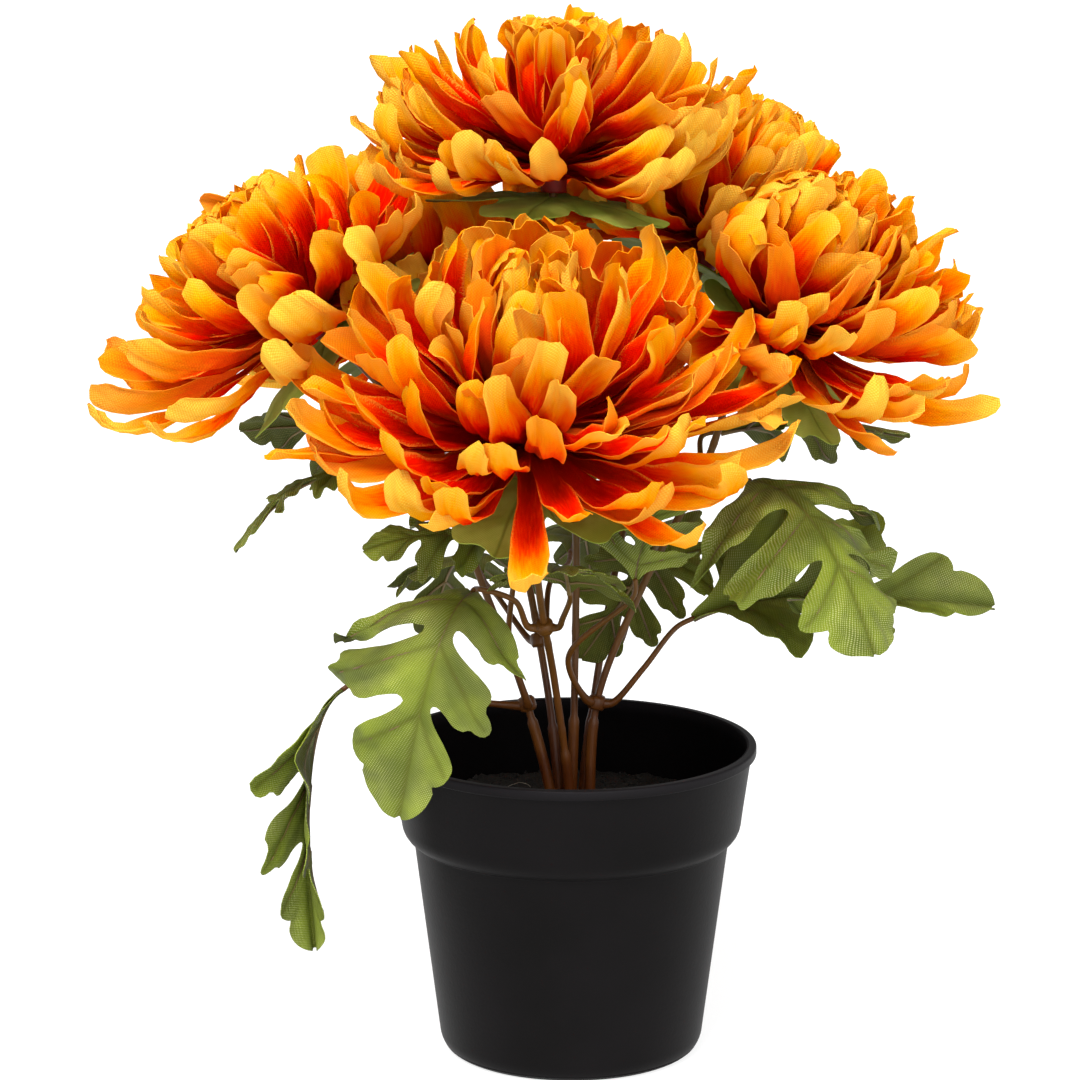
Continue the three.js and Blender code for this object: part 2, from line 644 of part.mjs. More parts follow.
function add(name, solid, finish) {
  const mesh = new THREE.Mesh(solidGeometry(solid), FINISHES[finish]);
  mesh.name = name;
  plant.add(mesh);
}

const leaves = COLLARS.flatMap((collar) => collar.leaves);
const leafSheets = leaves.map((leaf) => ({ of: leaf.name, ...leafSheet(leaf) }));
const rosetteSheets = BLOOMS.map((bloom, index) => ({ of: bloom.name, ...rosetteSheet(bloom, index) }));
const sheets = [...leafSheets, ...rosetteSheets];

add("pot", potSolid(), "pot");
add("soil", soilSolid(), "soil");
BLOOMS.forEach((bloom, index) => add(`stem_${bloom.name}`, stemSolid(bloom, index), "stem"));
COLLARS.forEach((collar) => add(`collar_${collar.name}`, collarSolid(collar), "stem"));
leafSheets.forEach((sheet) => add(`leaf_${sheet.of}`, sheetSolid(sheet, LEAF.thickness), "leaf"));
rosetteSheets.forEach((sheet) => add(`rosette_${sheet.of}`, sheetSolid(sheet, ROSETTE.thickness), "leaf"));
BLOOMS.forEach((bloom, index) => add(`bloom_${bloom.name}`, bloomSolid(bloom, index, sheets), "petal"));

export default plant;
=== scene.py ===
import bmesh
import bpy
import numpy as np
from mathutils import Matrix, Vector


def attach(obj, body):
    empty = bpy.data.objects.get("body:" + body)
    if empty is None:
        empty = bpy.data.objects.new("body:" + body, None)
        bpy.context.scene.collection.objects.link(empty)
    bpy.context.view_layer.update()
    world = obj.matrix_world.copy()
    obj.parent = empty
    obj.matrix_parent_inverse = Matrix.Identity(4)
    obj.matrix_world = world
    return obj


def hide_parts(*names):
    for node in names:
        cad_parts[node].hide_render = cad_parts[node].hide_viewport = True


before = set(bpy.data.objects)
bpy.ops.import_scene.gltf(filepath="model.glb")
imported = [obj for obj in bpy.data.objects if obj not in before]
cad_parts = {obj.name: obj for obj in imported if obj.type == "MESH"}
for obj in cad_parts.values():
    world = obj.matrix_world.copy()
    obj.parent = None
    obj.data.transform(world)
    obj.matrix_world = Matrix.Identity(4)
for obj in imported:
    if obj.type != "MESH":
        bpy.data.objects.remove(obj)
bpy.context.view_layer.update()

# ---- Pot ---------------------------------------------------------------------------------------
# A grower's pot, injection moulded in black polypropylene: a tapered wall on a bevelled foot, a
# stepped band round the top that the fingers hold, and a thin lip. It carries the whole plant.
# All sizes in this file are millimetres until a mesh is made.

POT_SEGMENTS = 128
# Outside then inside, from the middle of the foot: radius, height and how far the corner is rounded.
POT_PROFILE = np.array([
    [0, 0.9, 0], [33, 0.9, 0.5], [35, 0, 0.5], [40, 0, 2.2], [42.6, 3.4, 2.6], [51.2, 70.2, 0.4],
    [54.7, 71.8, 4.2], [55.7, 80, 3], [58.4, 98.6, 0.3], [60, 98.9, 0.5], [60, 102, 0.8],
    [56.9, 102, 0.7], [53.4, 76.2, 2], [49.4, 71.1, 1.5], [40.6, 2, 2], [0, 2, 0],
])


class Shade:
    """A socket of a material. Sums written on it add Math nodes, and add() any other node."""

    def __init__(self, tree, socket=None):
        self.tree, self.socket = tree, socket

    def add(self, kind, settings=None, values=None, output=0):
        """A node of a kind: its settings first, with a ramp's stops, then its sockets' values or
        links. Gives one output, or all of them when output is None."""
        node = self.tree.nodes.new("ShaderNode" + kind)
        for name, value in (settings or {}).items():
            if name == "stops":
                ramp = node.color_ramp.elements
                ramp[0].position, ramp[1].position = value[0][0], value[-1][0]
                for place, _ in value[1:-1]:
                    ramp.new(place)
                for stop, (_, colour) in zip(ramp, value):
                    stop.color = (*colour, 1)
            else:
                setattr(node, name, value)
        for name, value in (values or {}).items():
            socket = node.inputs[name]
            if isinstance(value, Shade):
                self.tree.links.new(value.socket, socket)
            elif socket.type == "RGBA" and len(value) == 3:
                socket.default_value = (*value, 1)
            else:
                socket.default_value = value
        if output is None:
            return [Shade(self.tree, socket) for socket in node.outputs]
        return Shade(self.tree, node.outputs[output]) if node.outputs else self

    def math(self, operation, *values):
        """A Math node on some values."""
        return self.add("Math", {"operation": operation}, dict(enumerate(values)))

    def ramp(self, low, high):
        """0 where this value is low or less, 1 where it is high or more, smooth between."""
        sockets = {0: self, 1: low, 2: high, 3: 0.0, 4: 1.0}
        return self.add("MapRange", {"interpolation_type": "SMOOTHSTEP"}, sockets)

    def mix(self, a, b, blend="MIX"):
        """Colour a where this value is 0, colour b where it is 1."""
        return self.add("Mix", {"data_type": "RGBA", "blend_type": blend}, {0: self, 6: a, 7: b}, 2)

    def noise(self, scale, detail=2.0, vector=None):
        """Soft noise from 0 to 1 at a place, or at the object's own coordinates."""
        place = vector or self.add("TexCoord", output=3)
        return self.add("TexNoise", None, {"Vector": place, "Scale": scale, "Detail": detail})

    def bump(self, height, distance, strength=1.0):
        """The normal of a surface raised by a height from 0 to 1 times a distance in metres."""
        return self.add("Bump", None, {"Height": height, "Distance": distance, "Strength": strength})

    def face(self, tint, rough, gloss, height, distance, strength=1.0):
        """A surface from its colour, roughness and gloss, and a bump by its height and distance."""
        return self.add("BsdfPrincipled", None, {
            "Base Color": tint, "Roughness": rough, "Specular IOR Level": gloss,
            "Normal": self.bump(height, distance, strength),
        })

    def shine(self, surface):
        """Ends the material with its surface."""
        self.add("OutputMaterial", None, {"Surface": surface})

    def shine_through(self, share, face, colour):
        """Ends the material with a face that passes a share of the light behind it, coloured."""
        glow = self.add("BsdfTranslucent", None, {"Color": colour})
        self.shine(self.add("MixShader", None, {0: share, 1: face, 2: glow}))


# Each operator on a Shade, and its mirrored form, adds a Math node.
SUMS = {"add": "ADD", "sub": "SUBTRACT", "mul": "MULTIPLY", "truediv": "DIVIDE", "pow": "POWER"}
for mark, operation in SUMS.items():
    setattr(Shade, f"__{mark}__", lambda a, b, name=operation: a.math(name, a, b))
    setattr(Shade, f"__r{mark}__", lambda a, b, name=operation: a.math(name, b, a))


def dye(text):
    """The linear colour of six sRGB hex digits."""
    srgb = np.array([int(text[i:i + 2], 16) for i in (0, 2, 4)]) / 255
    linear = np.where(srgb < 0.04045, srgb / 12.92, ((srgb + 0.055) / 1.055) ** 2.4)
    return tuple(float(c) for c in linear)


def new_finish(name):
    """An empty material and the Shade that fills it."""
    material = bpy.data.materials.new(name)
    material.use_nodes = True
    material.node_tree.nodes.clear()
    return material, Shade(material.node_tree)


def grid_faces(rows, columns, around=False, copies=1):
    """Four corners of each face of a grid whose points run row after row. around joins each row's
    end to its start, and copies repeats the grid for as many sets of points."""
    row = np.arange(rows - 1)[:, None] * columns
    column = np.arange(columns if around else columns - 1)[None]
    after = (column + 1) % columns
    corners = [row + column, row + after, row + columns + after, row + columns + column]
    faces = np.stack(corners, -1).reshape(-1, 4)
    return (faces + rows * columns * np.arange(copies)[:, None, None]).reshape(-1, 4)


def make(name, points, faces, *finishes, maps=None, marks=None):
    """A smooth mesh object from points in millimetres, in the scene. maps gives UV maps and marks
    gives vectors, both by name with one row to each point."""
    mesh = bpy.data.meshes.new(name)
    mesh.from_pydata((np.reshape(points, (-1, 3)) * 0.001).tolist(), [], np.asarray(faces).tolist())
    corners = np.empty(len(mesh.loops), np.int32)
    mesh.loops.foreach_get("vertex_index", corners)
    for title, values in (maps or {}).items():
        layer = mesh.uv_layers.new(name=title)
        layer.uv.foreach_set("vector", np.reshape(values, (-1, 2))[corners].astype(np.float32).ravel())
    for title, values in (marks or {}).items():
        mark = mesh.attributes.new(title, "FLOAT_VECTOR", "POINT")
        mark.data.foreach_set("vector", np.reshape(values, (-1, 3)).astype(np.float32).ravel())
    mesh.polygons.foreach_set("use_smooth", np.ones(len(mesh.polygons), bool))
    for finish in finishes:
        mesh.materials.append(finish)
    piece = bpy.data.objects.new(name, mesh)
    bpy.context.scene.collection.objects.link(piece)
    return piece


def weld(piece):
    """Joins the points that lie on each other, so that poles and ends are closed."""
    work = bmesh.new()
    work.from_mesh(piece.data)
    bmesh.ops.remove_doubles(work, verts=work.verts, dist=1e-7)
    bmesh.ops.dissolve_degenerate(work, edges=work.edges, dist=1e-7)
    work.to_mesh(piece.data)
    work.free()


def rounded(profile, steps=6):
    """A profile with its corners rounded: each corner of (x, y, cut) becomes a curve that leaves
    the lines at the cut's distance from the corner and is pulled towards the corner."""
    corner, cut = profile[1:-1, :2], profile[1:-1, 2:]
    before, after = profile[:-2, :2] - corner, profile[2:, :2] - corner
    start = corner + before * cut / np.linalg.norm(before, axis=1, keepdims=True)
    end = corner + after * cut / np.linalg.norm(after, axis=1, keepdims=True)
    t = np.linspace(0, 1, steps)[None, :, None]
    bends = (1 - t) ** 2 * start[:, None] + 2 * t * (1 - t) * corner[:, None] + t ** 2 * end[:, None]
    return np.vstack([profile[:1, :2], bends.reshape(-1, 2), profile[-1:, :2]])


def turned(profile, segments):
    """Points of a profile of (radius, height) turned about Z: one row to each point of it."""
    turn = np.linspace(0, 2 * np.pi, segments, endpoint=False)[None]
    radius, height = profile[:, :1], profile[:, 1:]
    return np.stack([radius * np.cos(turn), radius * np.sin(turn), height + 0 * turn], -1)


def pot_finish(name, gloss):
    """Black plastic with faint flow marks up the wall and a paler lip that is a painted highlight."""
    material, shade = new_finish(name)
    place = shade.add("TexCoord", output=3)
    flow = shade.noise(1.0, 3.0, shade.add("Mapping", None, {0: place, 3: (30, 30, 260)}))
    grain = shade.noise(900.0, 1.0)
    cloud = shade.noise(22.0, 4.0)
    lip = shade.add("SeparateXYZ", None, {0: place}, output=2).ramp(0.0975, 0.102)
    tint = cloud.ramp(0.3, 0.7).mix(dye("070606"), dye("0c0a0b"))
    # The lip is painted paler: a painted highlight along the top of the rim.
    tint = (0.5 * lip).mix(tint, dye("201e21"))
    rough = 0.40 + 0.10 * cloud + 0.05 * grain
    shade.shine(shade.face(tint, rough, gloss, 0.6 * flow + 0.4 * grain, 0.00008))
    return material


profile = rounded(POT_PROFILE)
faces = grid_faces(len(profile), POT_SEGMENTS, True)
# The inner wall takes a copy of the black plastic with almost no gloss: painted shade inside the pot.
pot = make("grower_pot", turned(profile, POT_SEGMENTS), faces, pot_finish("black_plastic", 0.07),
           pot_finish("dull_inside_painted_shade", 0.01))
inside = np.arange(len(faces)) // POT_SEGMENTS > len(profile) - 26
pot.data.polygons.foreach_set("material_index", inside.astype(np.int32))
weld(pot)
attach(pot, "root")
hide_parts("pot")

# ---- Filler ------------------------------------------------------------------------------------
# A round plug of hard foam pressed into the pot with the stems set in it. Its top is uneven, and
# black grit with a few pale fibres is glued over it.

FILLER_LEVEL = 80
FILLER_EDGE = 53.2
FILLER_DEPTH = 3.4
FILLER_ROWS = 60
FILLER_SEGMENTS = 150
GRIT_EDGE = 52.4
GRIT_COUNT = 900
FIBRE_COUNT = 16
FIBRE_POINTS = 9
FIBRE_RADIUS = 0.12

fixed = np.random.default_rng(7)


def filler_height(x, y):
    """Height of the filler's top: its level, three sets of crossing waves and a sunken edge."""
    waves = np.sin(0.21 * x + 1.3) * np.sin(0.17 * y) + 0.6 * np.sin(0.47 * x - 0.39 * y)
    fine = 0.5 * np.sin(1.1 * x + 0.9 * y) * np.sin(0.8 * x - 1.3 * y + 2)
    edge = np.clip((np.hypot(x, y) - 47) / 6, 0, 1)
    return FILLER_LEVEL - 0.9 + 0.45 * (waves + fine) - 1.2 * edge ** 2


black_grit, shade = new_finish("black_grit")
clump = shade.noise(260.0, 4.0)
speck = shade.noise(1500.0, 2.0)
tint = clump.ramp(0.35, 0.7).mix(dye("060504"), dye("15110e"))
tint = speck.ramp(0.62, 0.75).mix(tint, dye("3b342c"))
shade.shine(shade.face(tint, 0.75 + 0.2 * clump, 0.35, clump + 0.4 * speck, 0.0006))

top = np.linspace(0, FILLER_EDGE, FILLER_ROWS)
reach = np.concatenate([top, [FILLER_EDGE, FILLER_EDGE - 2.4, 0]])[:, None]
turn = np.linspace(0, 2 * np.pi, FILLER_SEGMENTS, endpoint=False)[None]
x, y = reach * np.cos(turn), reach * np.sin(turn)
z = filler_height(x, y) + 0.35 * fixed.normal(size=x.shape) * (reach > 1)
z[FILLER_ROWS:] = FILLER_LEVEL - FILLER_DEPTH
points = np.stack([x, y, z], -1)[::-1]
filler = make("filler_plug", points, grid_faces(len(reach), FILLER_SEGMENTS, True), black_grit)
weld(filler)
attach(filler, "root")
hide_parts("soil")


def pebbles(place, size, draw):
    """A rough twenty-sided grain at each place: a ball's corners, each moved in or out."""
    work = bmesh.new()
    bmesh.ops.create_icosphere(work, subdivisions=1, radius=1)
    ball = np.array([v.co[:] for v in work.verts])
    faces = np.array([[v.index for v in f.verts] for f in work.faces])
    work.free()
    uneven = draw.uniform(0.65, 1.15, (len(place), len(ball), 1))
    squash = draw.uniform(0.6, 1.2, (len(place), 1, 3))
    points = place[:, None] + ball * uneven * squash * size[:, None, None]
    return points, (faces + len(ball) * np.arange(len(place))[:, None, None]).reshape(-1, 3)


reach = GRIT_EDGE * np.sqrt(fixed.uniform(0.004, 1, GRIT_COUNT))
turn = fixed.uniform(0, 2 * np.pi, GRIT_COUNT)
x, y = reach * np.cos(turn), reach * np.sin(turn)
place = np.stack([x, y, filler_height(x, y) + 0.1], -1)
points, faces = pebbles(place, fixed.gamma(4, 0.16, GRIT_COUNT), fixed)
grit = make("filler_grit", points, faces, black_grit)
grit.data.polygons.foreach_set("use_smooth", np.zeros(len(grit.data.polygons), bool))
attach(grit, "root")


def sides_of(path):
    """Two directions square to each point of a path. The first is square to the direction that
    the path runs along least."""
    ahead = np.gradient(path, axis=0)
    ahead /= np.linalg.norm(ahead, axis=1, keepdims=True)
    least = np.linalg.eigh(ahead.T @ ahead)[1][:, 0]
    first = np.cross(least, ahead)
    first /= np.linalg.norm(first, axis=1, keepdims=True)
    return first, np.cross(ahead, first)


def tube(path, radius, sides=12):
    """Points of rings round a path, closed to a point at both ends: the path's point plus the
    radius there times the two directions square to it."""
    radius = np.broadcast_to(radius, len(path))
    first, second = sides_of(path)
    rows = np.concatenate([[0], np.arange(len(path)), [len(path) - 1]])
    size = np.concatenate([[0], radius, [0]])[:, None, None]
    turn = np.linspace(0, 2 * np.pi, sides, endpoint=False)[None, :, None]
    ring = first[rows, None] * np.cos(turn) + second[rows, None] * np.sin(turn)
    return path[rows, None] + size * ring


def joined(grids):
    """The points and faces of several closed tubes as one mesh."""
    points, faces, count = [], [], 0
    for grid in grids:
        rows, sides = grid.shape[:2]
        points.append(grid.reshape(-1, 3))
        faces.append(grid_faces(rows, sides, True) + count)
        count += rows * sides
    return np.vstack(points), np.vstack(faces)


pale_fibre, shade = new_finish("pale_fibre")
shade.shine(shade.add("BsdfPrincipled", None, {
    "Base Color": shade.noise(400.0).mix(dye("4a4036"), dye("8d8374")), "Roughness": 0.7,
}))

strands = []
for _ in range(FIBRE_COUNT):
    start, heading, bend = fixed.uniform(8, 40), fixed.uniform(0, 6.28), fixed.uniform(-0.35, 0.35)
    turn = heading + fixed.uniform(-2, 2) + bend * np.arange(FIBRE_POINTS)
    x = start * np.cos(heading) + np.cumsum(np.cos(turn)) * 1.1
    y = start * np.sin(heading) + np.cumsum(np.sin(turn)) * 1.1
    lift = 0.7 + 0.9 * np.sin(np.linspace(0.2, 2.9, FIBRE_POINTS))
    strands.append(tube(np.stack([x, y, filler_height(x, y) + lift], -1), FIBRE_RADIUS, 4))
fibres = make("filler_fibres", *joined(strands), pale_fibre)
weld(fibres)
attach(fibres, "root")

# ---- Stems -------------------------------------------------------------------------------------
# Six wires coated in brown plastic, greener towards the blooms. Each stands in a thicker moulded
# socket that is set in the filler, and runs up into the core of its bloom.

STEM_RADIUS = 1.2
SOCKET_RADIUS = 1.75
STEM_SPACING = 6.2
STEM_POINTS = 150
STEM_SIDES = 16
# Where each stem carries a bloom: the foot of the bloom's core, how far its axis tilts and the
# heading it tilts to. Then the heading from the pot's axis at which the stem stands in the filler,
# or None where it stands on the axis, how high its socket reaches and the points it runs through.
STEMS = {
    "top": dict(foot=(-6, 5, 281), tilt=4, heading=60, soil=None, socket=110,
                route=[(1, 2, 120), (1, 5, 190), (-4, 4.8, 246)]),
    "front": dict(foot=(-14, -55, 202), tilt=20, heading=272, soil=270, socket=101,
                  route=[(-5.5, -11, 125), (-9.6, -26, 152), (-13, -46, 183)]),
    "left": dict(foot=(-78, -5, 238), tilt=45, heading=184, soil=198, socket=110,
                 route=[(-14.4, 0, 115), (-27, 0, 150), (-48, -3, 203)]),
    "right": dict(foot=(59, -5, 234), tilt=34, heading=335, soil=342, socket=110,
                  route=[(8.2, 0, 115.5), (22, 0, 152), (44, 0, 197)]),
    "right_rear": dict(foot=(43, 53, 249), tilt=30, heading=35, soil=54, socket=108,
                       route=[(8, 12, 118), (20, 32, 180), (31, 44, 218)]),
    "left_rear": dict(foot=(-43, 51, 233), tilt=32, heading=140, soil=126, socket=106,
                      route=[(-8, 13, 118), (-20, 33, 174), (-32, 43, 206)]),
}


def unit(vector):
    """A vector scaled to a length of 1."""
    return np.asarray(vector, float) / np.linalg.norm(vector)


def axes_of(name):
    """A bloom's two side directions and its axis, the first side as near to +X as it can be."""
    tilt, heading = np.radians([STEMS[name]["tilt"], STEMS[name]["heading"]])
    axis = np.array([np.sin(tilt) * np.cos(heading), np.sin(tilt) * np.sin(heading), np.cos(tilt)])
    first = unit(np.cross([0, 1, 0], axis))
    return first, np.cross(axis, first), axis


def smooth_path(points, count):
    """Points at even lengths along a curve through the given ones: a cubic between each two, whose
    slopes weigh the neighbours by the square root of their distances."""
    points = np.asarray(points, float)
    ends = np.vstack([2 * points[0] - points[1], points, 2 * points[-1] - points[-2]])
    gap = np.linalg.norm(np.diff(ends, axis=0), axis=1, keepdims=True) ** 0.5
    before, here, after = gap[:-2], gap[1:-1], gap[2:]
    p0, p1, p2, p3 = ends[:-3], ends[1:-2], ends[2:-1], ends[3:]
    leave = ((p1 - p0) / before - (p2 - p0) / (before + here) + (p2 - p1) / here) * here
    arrive = ((p2 - p1) / here - (p3 - p1) / (here + after) + (p3 - p2) / after) * here
    t = np.linspace(0, 1, 24, endpoint=False)[:, None, None]
    cubic = 2 * p1 - 2 * p2 + leave + arrive
    square = -3 * p1 + 3 * p2 - 2 * leave - arrive
    curve = (cubic * t ** 3 + square * t ** 2 + leave * t + p1).transpose(1, 0, 2).reshape(-1, 3)
    curve = np.vstack([curve, points[-1]])
    length = np.concatenate([[0], np.cumsum(np.linalg.norm(np.diff(curve, axis=0), axis=1))])
    even = np.linspace(0, length[-1], count)
    return np.stack([np.interp(even, length, curve[:, k]) for k in range(3)], -1)


def stem_path(name):
    """The line of a stem from deep in the filler into its bloom's core."""
    stem = STEMS[name]
    x, y = 0.0, 0.0
    if stem["soil"] is not None:
        turn = np.radians(stem["soil"])
        x, y = STEM_SPACING * np.cos(turn), STEM_SPACING * np.sin(turn)
    foot, axis = np.array(stem["foot"], float), axes_of(name)[2]
    low = [(x, y, 44), (x, y, 64), (x, y, FILLER_LEVEL)]
    return smooth_path([*low, *stem["route"], foot - 14 * axis, foot + 5 * axis], STEM_POINTS)


stem_plastic, shade = new_finish("stem_plastic")
place = shade.add("TexCoord", output=3)
height = shade.add("SeparateXYZ", None, {0: place}, output=2)
patch = shade.noise(45.0, 3.0)
streak = shade.noise(1.0, 2.0, shade.add("Mapping", None, {0: place, 3: (700, 700, 60)}))
tint = (height + 0.03 * patch).ramp(0.10, 0.19).mix(dye("481c04"), dye("5a4218"))
tint = (0.6 * patch.ramp(0.35, 0.75)).mix(tint, dye("74440f"))
tint = (0.35 * streak).mix(tint, dye("3a200d"))
shade.shine(shade.face(tint, 0.30 + 0.2 * patch, 0.22, streak, 0.0003))

stem_paths = {name: stem_path(name) for name in STEMS}
for name, path in stem_paths.items():
    rise = path[:, 2] - STEMS[name]["socket"]
    radius = STEM_RADIUS + (SOCKET_RADIUS - STEM_RADIUS) * np.clip(-rise / 0.8, 0, 1)
    radius += 0.14 * np.exp(-((path[:, 2] % 31 - 15) / 1.2) ** 2) * (rise > 0)
    stem = make("wire_" + name, *joined([tube(path, radius, STEM_SIDES)]), stem_plastic)
    weld(stem)
    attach(stem, "root")
    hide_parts("stem_" + name)

# ---- Collars -----------------------------------------------------------------------------------
# Short plastic sleeves pushed onto the stems. Each is moulded in one with the stalks of its two
# leaves, which leave it level and turn up to the leaf.

COLLAR_HEIGHT = 4.4
STALK_RADIUS = 1.05
STALK_POINTS = 48
# The outline of a collar, as shares of half its height and radii in millimetres.
SLEEVE = np.array([[-1, 1.5], [-1, 2.5], [-0.6, 2.9], [0.6, 2.9], [1, 2.3], [1, 1.5]])
# On which stem and how high, then for each leaf the point its stalk passes, its root, the point
# its midrib is drawn towards, its tip, which way its upper face looks and how many degrees its
# halves fold up: along all of it, or by the first lobes, the middle and the tip. Some leaves also
# state how wide each half is, how far each droops, and how much of the waves the cloth has.
COLLARS = {
    "left_low": dict(stem="left", height=115, leaves=[
        dict(name="far_left", by=(-45, -2, 118), root=(-74, -4, 120.5), over=(-90, -8, 112),
             tip=(-83.5, -6, 33.5), face=(-0.2, -0.97, 0.1), fold=(95, 80, 62), droop=(0.3, 0.3),
             waves=0.5),
        dict(name="left_lobes", by=(-20, -10, 138), root=(-24, -29, 173.6), over=(-42, -37, 183.6),
             tip=(-66, -35, 173.6), face=(0, -0.4, 0.9), fold=6, wide=(1.2, 1.4))]),
    "right_low": dict(stem="right", height=115.5, leaves=[
        dict(name="dark", by=(-1, -9, 133), root=(20, -22, 161), over=(21, -28, 176),
             tip=(31, -38, 197), face=(0, -0.9, 0.3), fold=8, wide=(1.25, 1.25)),
        dict(name="far_right", by=(23, -2, 127), root=(39, -1, 143.5), over=(62, 0, 156),
             tip=(137, 6, 145.5), face=(-0.1, -0.6, 0.8), fold=38, wide=(0.95, 0.85),
             droop=(1.0, 0.3))]),
    "front": dict(stem="front", height=146, leaves=[
        dict(name="front_left", by=(-18, -30, 156), root=(-31, -45, 163), over=(-42, -92, 170),
             tip=(-54, -74, 97), face=(-0.1, -0.75, 0.65), fold=4, droop=(2.2, 2.2), wide=(0.8, 1.45)),
        dict(name="middle", by=(-3, -28, 150), root=(-1, -38, 161), over=(-2, -58, 178),
             tip=(-7, -90, 179), face=(0.1, 0, 1), fold=8, wide=(1.2, 1.2))]),
    "right_high": dict(stem="right", height=182, leaves=[
        dict(name="right_hanging", by=(46, -8, 190), root=(56, -16, 192), over=(76, -44, 199),
             tip=(94, -62, 146), face=(0.3, -0.4, 0.85), fold=2, droop=(1.6, 2.2), wide=(1.6, 1.5)),
        dict(name="right_flat", by=(41, 6, 193), root=(48, 14, 202), over=(74, 12, 209),
             tip=(109, 10, 201), face=(0, 0.4, 0.92), fold=6, wide=(1.2, 1.2))]),
    "left_high": dict(stem="left", height=180, leaves=[
        dict(name="left_narrow", by=(-52, 0, 186), root=(-66, 2, 191), over=(-90, 2, 194),
             tip=(-108, -4, 166), face=(-0.4, 0, 0.9), fold=12),
        dict(name="left_back", by=(-42, 10, 184), root=(-48, 24, 194), over=(-76, 24, 206),
             tip=(-108, 26, 200), face=(-0.1, 0.6, 0.8), fold=8, wide=(1.25, 1.25))]),
    "right_rear": dict(stem="right_rear", height=130, leaves=[
        dict(name="inner_right", by=(17, 14, 146), root=(28, 12, 166), over=(23, 10, 156),
             tip=(3, 10.7, 127), face=(0, 1, 0.05), fold=2, droop=(0.5, 0.5), wide=(1.2, 1.2)),
        dict(name="rear_right", by=(20, 20, 144), root=(25, 22, 151), over=(48, 26, 176),
             tip=(76, 28, 138), face=(0, -0.5, 0.85), fold=8)]),
    "left_rear": dict(stem="left_rear", height=132, leaves=[
        dict(name="rear_left", by=(-24, 36, 142), root=(-30, 54, 146), over=(-40, 86, 158),
             tip=(-48, 104, 112), face=(-0.2, 0.3, 0.9), fold=8),
        dict(name="rear", by=(-7, 38, 146), root=(0, 60, 152), over=(4, 98, 168),
             tip=(8, 118, 126), face=(0, 0.5, 0.85), fold=8)]),
}


def stem_at(name, height):
    """The point of a stem at a height, and the way it runs there."""
    path = stem_paths[name]
    place = np.array([np.interp(height, path[:, 2], path[:, k]) for k in range(3)])
    i = np.searchsorted(path[:, 2], height)
    return place, unit(path[i] - path[i - 1])


for name, collar in COLLARS.items():
    place, way = stem_at(collar["stem"], collar["height"])
    # Its rings stand a hair apart, so that the path has a direction at each.
    rise = COLLAR_HEIGHT / 2 * SLEEVE[:, :1] + 0.01 * np.arange(len(SLEEVE))[:, None]
    parts = [tube(place + rise * way, SLEEVE[:, 1], 16)]
    for leaf in collar["leaves"]:
        by, root = np.array(leaf["by"], float), np.array(leaf["root"], float)
        out = by - place
        out = unit(out - out @ way * way)
        ahead = unit(np.array(leaf["over"]) - root)
        points = [place + 2 * out, place + 5 * out + way, by, root - 6 * ahead, root + 0.6 * ahead]
        share = np.linspace(0, 1, STALK_POINTS)
        radius = STALK_RADIUS * (1 + 0.75 * np.exp(-share / 0.06) - 0.2 * share)
        parts.append(tube(smooth_path(points, STALK_POINTS), radius))
    stalks = make("sleeve_" + name, *joined(parts), stem_plastic)
    weld(stalks)
    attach(stalks, "root")
    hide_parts("collar_" + name)

# ---- Leaves ------------------------------------------------------------------------------------
# Leaves punched from woven polyester and pressed hot between moulds, so that their veins are
# grooves on the bright upper face. Thin brown plastic ribs are glued under the main veins.

LEAF_THICKNESS = 0.3
LEAF_SEED = 40
# Edge of half a leaf from root to tip, as shares of its length: along the midrib, out to the side,
# and where on the midrib the lines to that part of the edge start.
LEAF_EDGE = np.array([
    [0, 0.015, 0], [0.03, 0.03, 0.03], [0.07, 0.05, 0.07], [0.11, 0.09, 0.11], [0.14, 0.15, 0.135],
    [0.17, 0.215, 0.15], [0.2, 0.27, 0.155], [0.235, 0.295, 0.16], [0.265, 0.29, 0.165],
    [0.29, 0.325, 0.17], [0.33, 0.345, 0.175], [0.365, 0.325, 0.18], [0.365, 0.285, 0.185],
    [0.355, 0.255, 0.19], [0.375, 0.225, 0.2], [0.37, 0.19, 0.21], [0.34, 0.15, 0.225],
    [0.315, 0.1, 0.25], [0.31, 0.055, 0.29], [0.345, 0.05, 0.335], [0.38, 0.085, 0.37],
    [0.415, 0.15, 0.39], [0.445, 0.215, 0.4], [0.48, 0.265, 0.405], [0.515, 0.28, 0.41],
    [0.54, 0.27, 0.415], [0.575, 0.305, 0.42], [0.615, 0.31, 0.425], [0.64, 0.28, 0.43],
    [0.635, 0.24, 0.435], [0.625, 0.215, 0.44], [0.64, 0.185, 0.455], [0.63, 0.15, 0.47],
    [0.6, 0.11, 0.495], [0.575, 0.065, 0.53], [0.585, 0.045, 0.565], [0.62, 0.06, 0.6],
    [0.66, 0.09, 0.635], [0.7, 0.125, 0.665], [0.745, 0.155, 0.69], [0.79, 0.17, 0.71],
    [0.83, 0.16, 0.73], [0.85, 0.13, 0.755], [0.855, 0.11, 0.78], [0.885, 0.115, 0.81],
    [0.925, 0.105, 0.85], [0.96, 0.08, 0.9], [0.985, 0.045, 0.95], [1, 0.01, 0.99],
])
# The vein of each lobe: where it leaves the midrib and where it ends.
LEAF_VEINS = np.array([
    [[0.14, 0], [0.34, 0.31]], [[0.37, 0], [0.61, 0.28]], [[0.62, 0], [0.81, 0.15]],
])


def weave(shade, cloth, pitch):
    """Height of a plain weave: a sine across the warp times one across the weft."""
    across, along, _ = shade.add("SeparateXYZ", None, {0: cloth}, None)
    turn = 2 * np.pi / pitch
    return 0.5 + 0.5 * shade.math("SINE", across * turn) * shade.math("SINE", along * turn)


